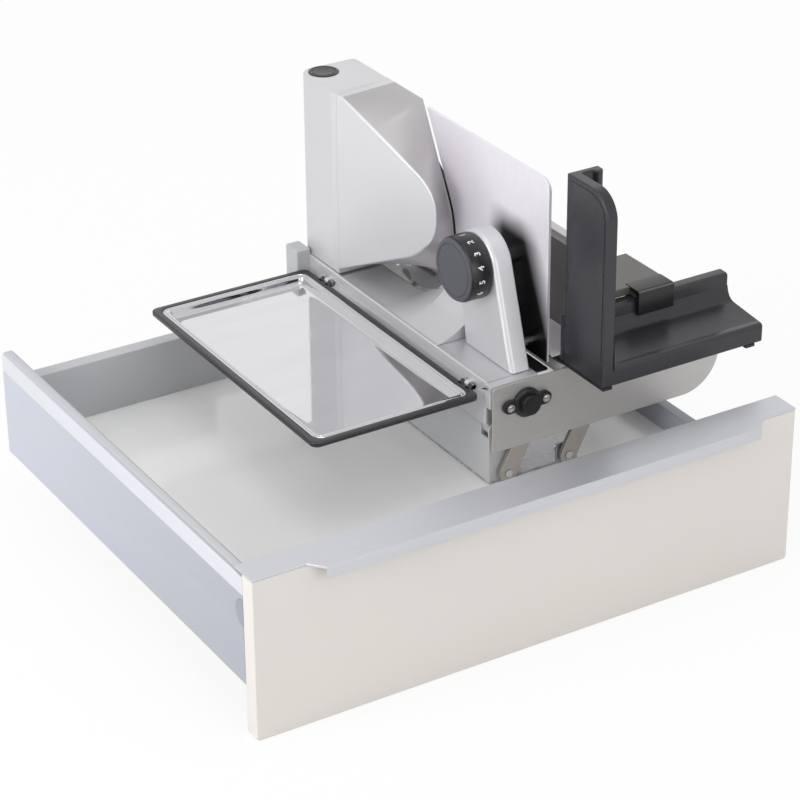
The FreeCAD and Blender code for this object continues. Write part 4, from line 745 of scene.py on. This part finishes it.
NUMBER_STEP = 25.0
NUMBER_HEIGHT = 9.0
marks = bmesh.new()
for number in range(13):
    words = bpy.data.curves.new("number", "FONT")
    words.body = str(number)
    words.size = NUMBER_HEIGHT
    words.offset = 0.2
    words.align_x = "CENTER"
    words.align_y = "CENTER"
    words.resolution_u = 3
    holder = bpy.data.objects.new("number", words)
    bpy.context.scene.collection.objects.link(holder)
    flat = holder.to_mesh()
    start = len(marks.verts)
    marks.from_mesh(flat)
    marks.verts.ensure_lookup_table()
    bpy.data.objects.remove(holder)
    middle_angle = math.radians(60 + number * NUMBER_STEP)
    for vert in marks.verts[start:]:
        across, up = vert.co.x, vert.co.y
        angle = middle_angle - across / DIAL_RADIUS
        radius = DIAL_RADIUS + 0.06
        vert.co = on_plane("X", (DIAL_AXIS[0] + radius * math.cos(angle),
                                 DIAL_AXIS[1] + radius * math.sin(angle)), 62.5 - up)
bm = marks
mesh = bpy.data.meshes.new("dial_numbers")
bm.to_mesh(mesh)
bm.free()
numbers = bpy.data.objects.new("dial_numbers", mesh)
bpy.context.scene.collection.objects.link(numbers)
mesh.materials.append(PRINT_WHITE)
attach(numbers, "dial")
print("dial with numbers 0 to 12,", len(mesh.polygons), "faces of print")

# %% [markdown]
# ## The switch
# The round button on top of the housing sits in a shiny ring and is dished for a fingertip.

# %% The switch
SWITCH_AXIS = (64.5, 236.0)

bm = bmesh.new()
turning(bm, "Z", SWITCH_AXIS, [(325, 12), (332.3, 12), (332.7, 11.6), (332.8, 11), (332.5, 9), (332.3, 6),
                               (332.2, 0.5)], 72)
piece_from(bm, "switch_cap_dished", "button", "black_plastic", ["switch_button"])
bm = bmesh.new()
turning(bm, "Z", SWITCH_AXIS, [(329, 12.3), (332.2, 12.3), (332.8, 12.8), (333, 13.8), (332.8, 15.0),
                               (332.3, 15.9), (331, 16)], 72)
piece_from(bm, "switch_ring_turned", "slicer_unit", "black_plastic", ["switch_bezel"])
print("switch done")

# %% [markdown]
# ## The food carriage
# The carriage is one dark moulding. A raised panel on the finger guard leaves a fine shadow line
# along its edge, and a hollow curve leads from the ledge up to the rail that the pusher rides on.
# The pusher's hook is a separate, glossier black moulding that grips the rail.

# %% The carriage
bm = bmesh.new()
panel = rounded([(-174, 158), (-116, 158), (-116, 328), (-174, 328)], [4, 4, 4, 25], 10)
prism(bm, "X", panel, 126.2, 127.4)
piece_from(bm, "guard_panel", "carriage", "charcoal_plastic", width=0.5)

bm = bmesh.new()
cove = [Vector((-176, 153.4))] + spline([(-131.5, 157.8), (-121.5, 159.5), (-120.2, 173)], 12)
cove += [Vector((-119, 173)), Vector((-119, 150)), Vector((-176, 150))]
prism(bm, "X", cove, 138, 316.6)
piece_from(bm, "rail_cove", "carriage", "charcoal_plastic")

bm = bmesh.new()
hook = rounded([(-125.2, 168.6), (-120.4, 168.6), (-120.4, 190), (-101, 190), (-101, 194.6), (-125.2, 194.6)],
               [1.5, 1.5, 0.8, 1.0, 1.5, 4], 4)
prism(bm, "X", hook, 205, 247.5)
piece_from(bm, "pusher_hook", "pusher", "black_plastic", width=0.8)
print("carriage done")

# %% [markdown]
# ## Small turned parts
# Two domed screws hold the lock's flange, and the knob in its middle has a raised rim.

# %% The lock
LOCK_AXIS = (83.9, 103.8)
bm = bmesh.new()
turning(bm, "Y", LOCK_AXIS, [(-111.8, 15.4), (-115.4, 15.4), (-116.4, 14.6), (-117, 13), (-117, 10.4)], 72)
piece_from(bm, "lock_hub", "deck", "black_plastic", width=0.2)
bm = bmesh.new()
turning(bm, "Y", LOCK_AXIS, [(-116.5, 10.2), (-122.4, 10.2), (-123.3, 9.6), (-123.6, 8.6), (-123.4, 7.4),
                             (-122.6, 6.8), (-122.4, 0.5)], 72)
piece_from(bm, "lock_knob_turned", "lock", "black_plastic")
for side in (-20.5, 20.5):
    bm = bmesh.new()
    turning(bm, "Y", (LOCK_AXIS[0] + side, LOCK_AXIS[1]), [(-115.5, 4.2), (-116.3, 4.2), (-117.2, 3.6),
                                                           (-117.9, 2.4), (-118.1, 0.4)], 40)
    piece_from(bm, "lock_screw_head" + ("_left" if side < 0 else "_right"), "deck", "turned_steel")
print("lock done")
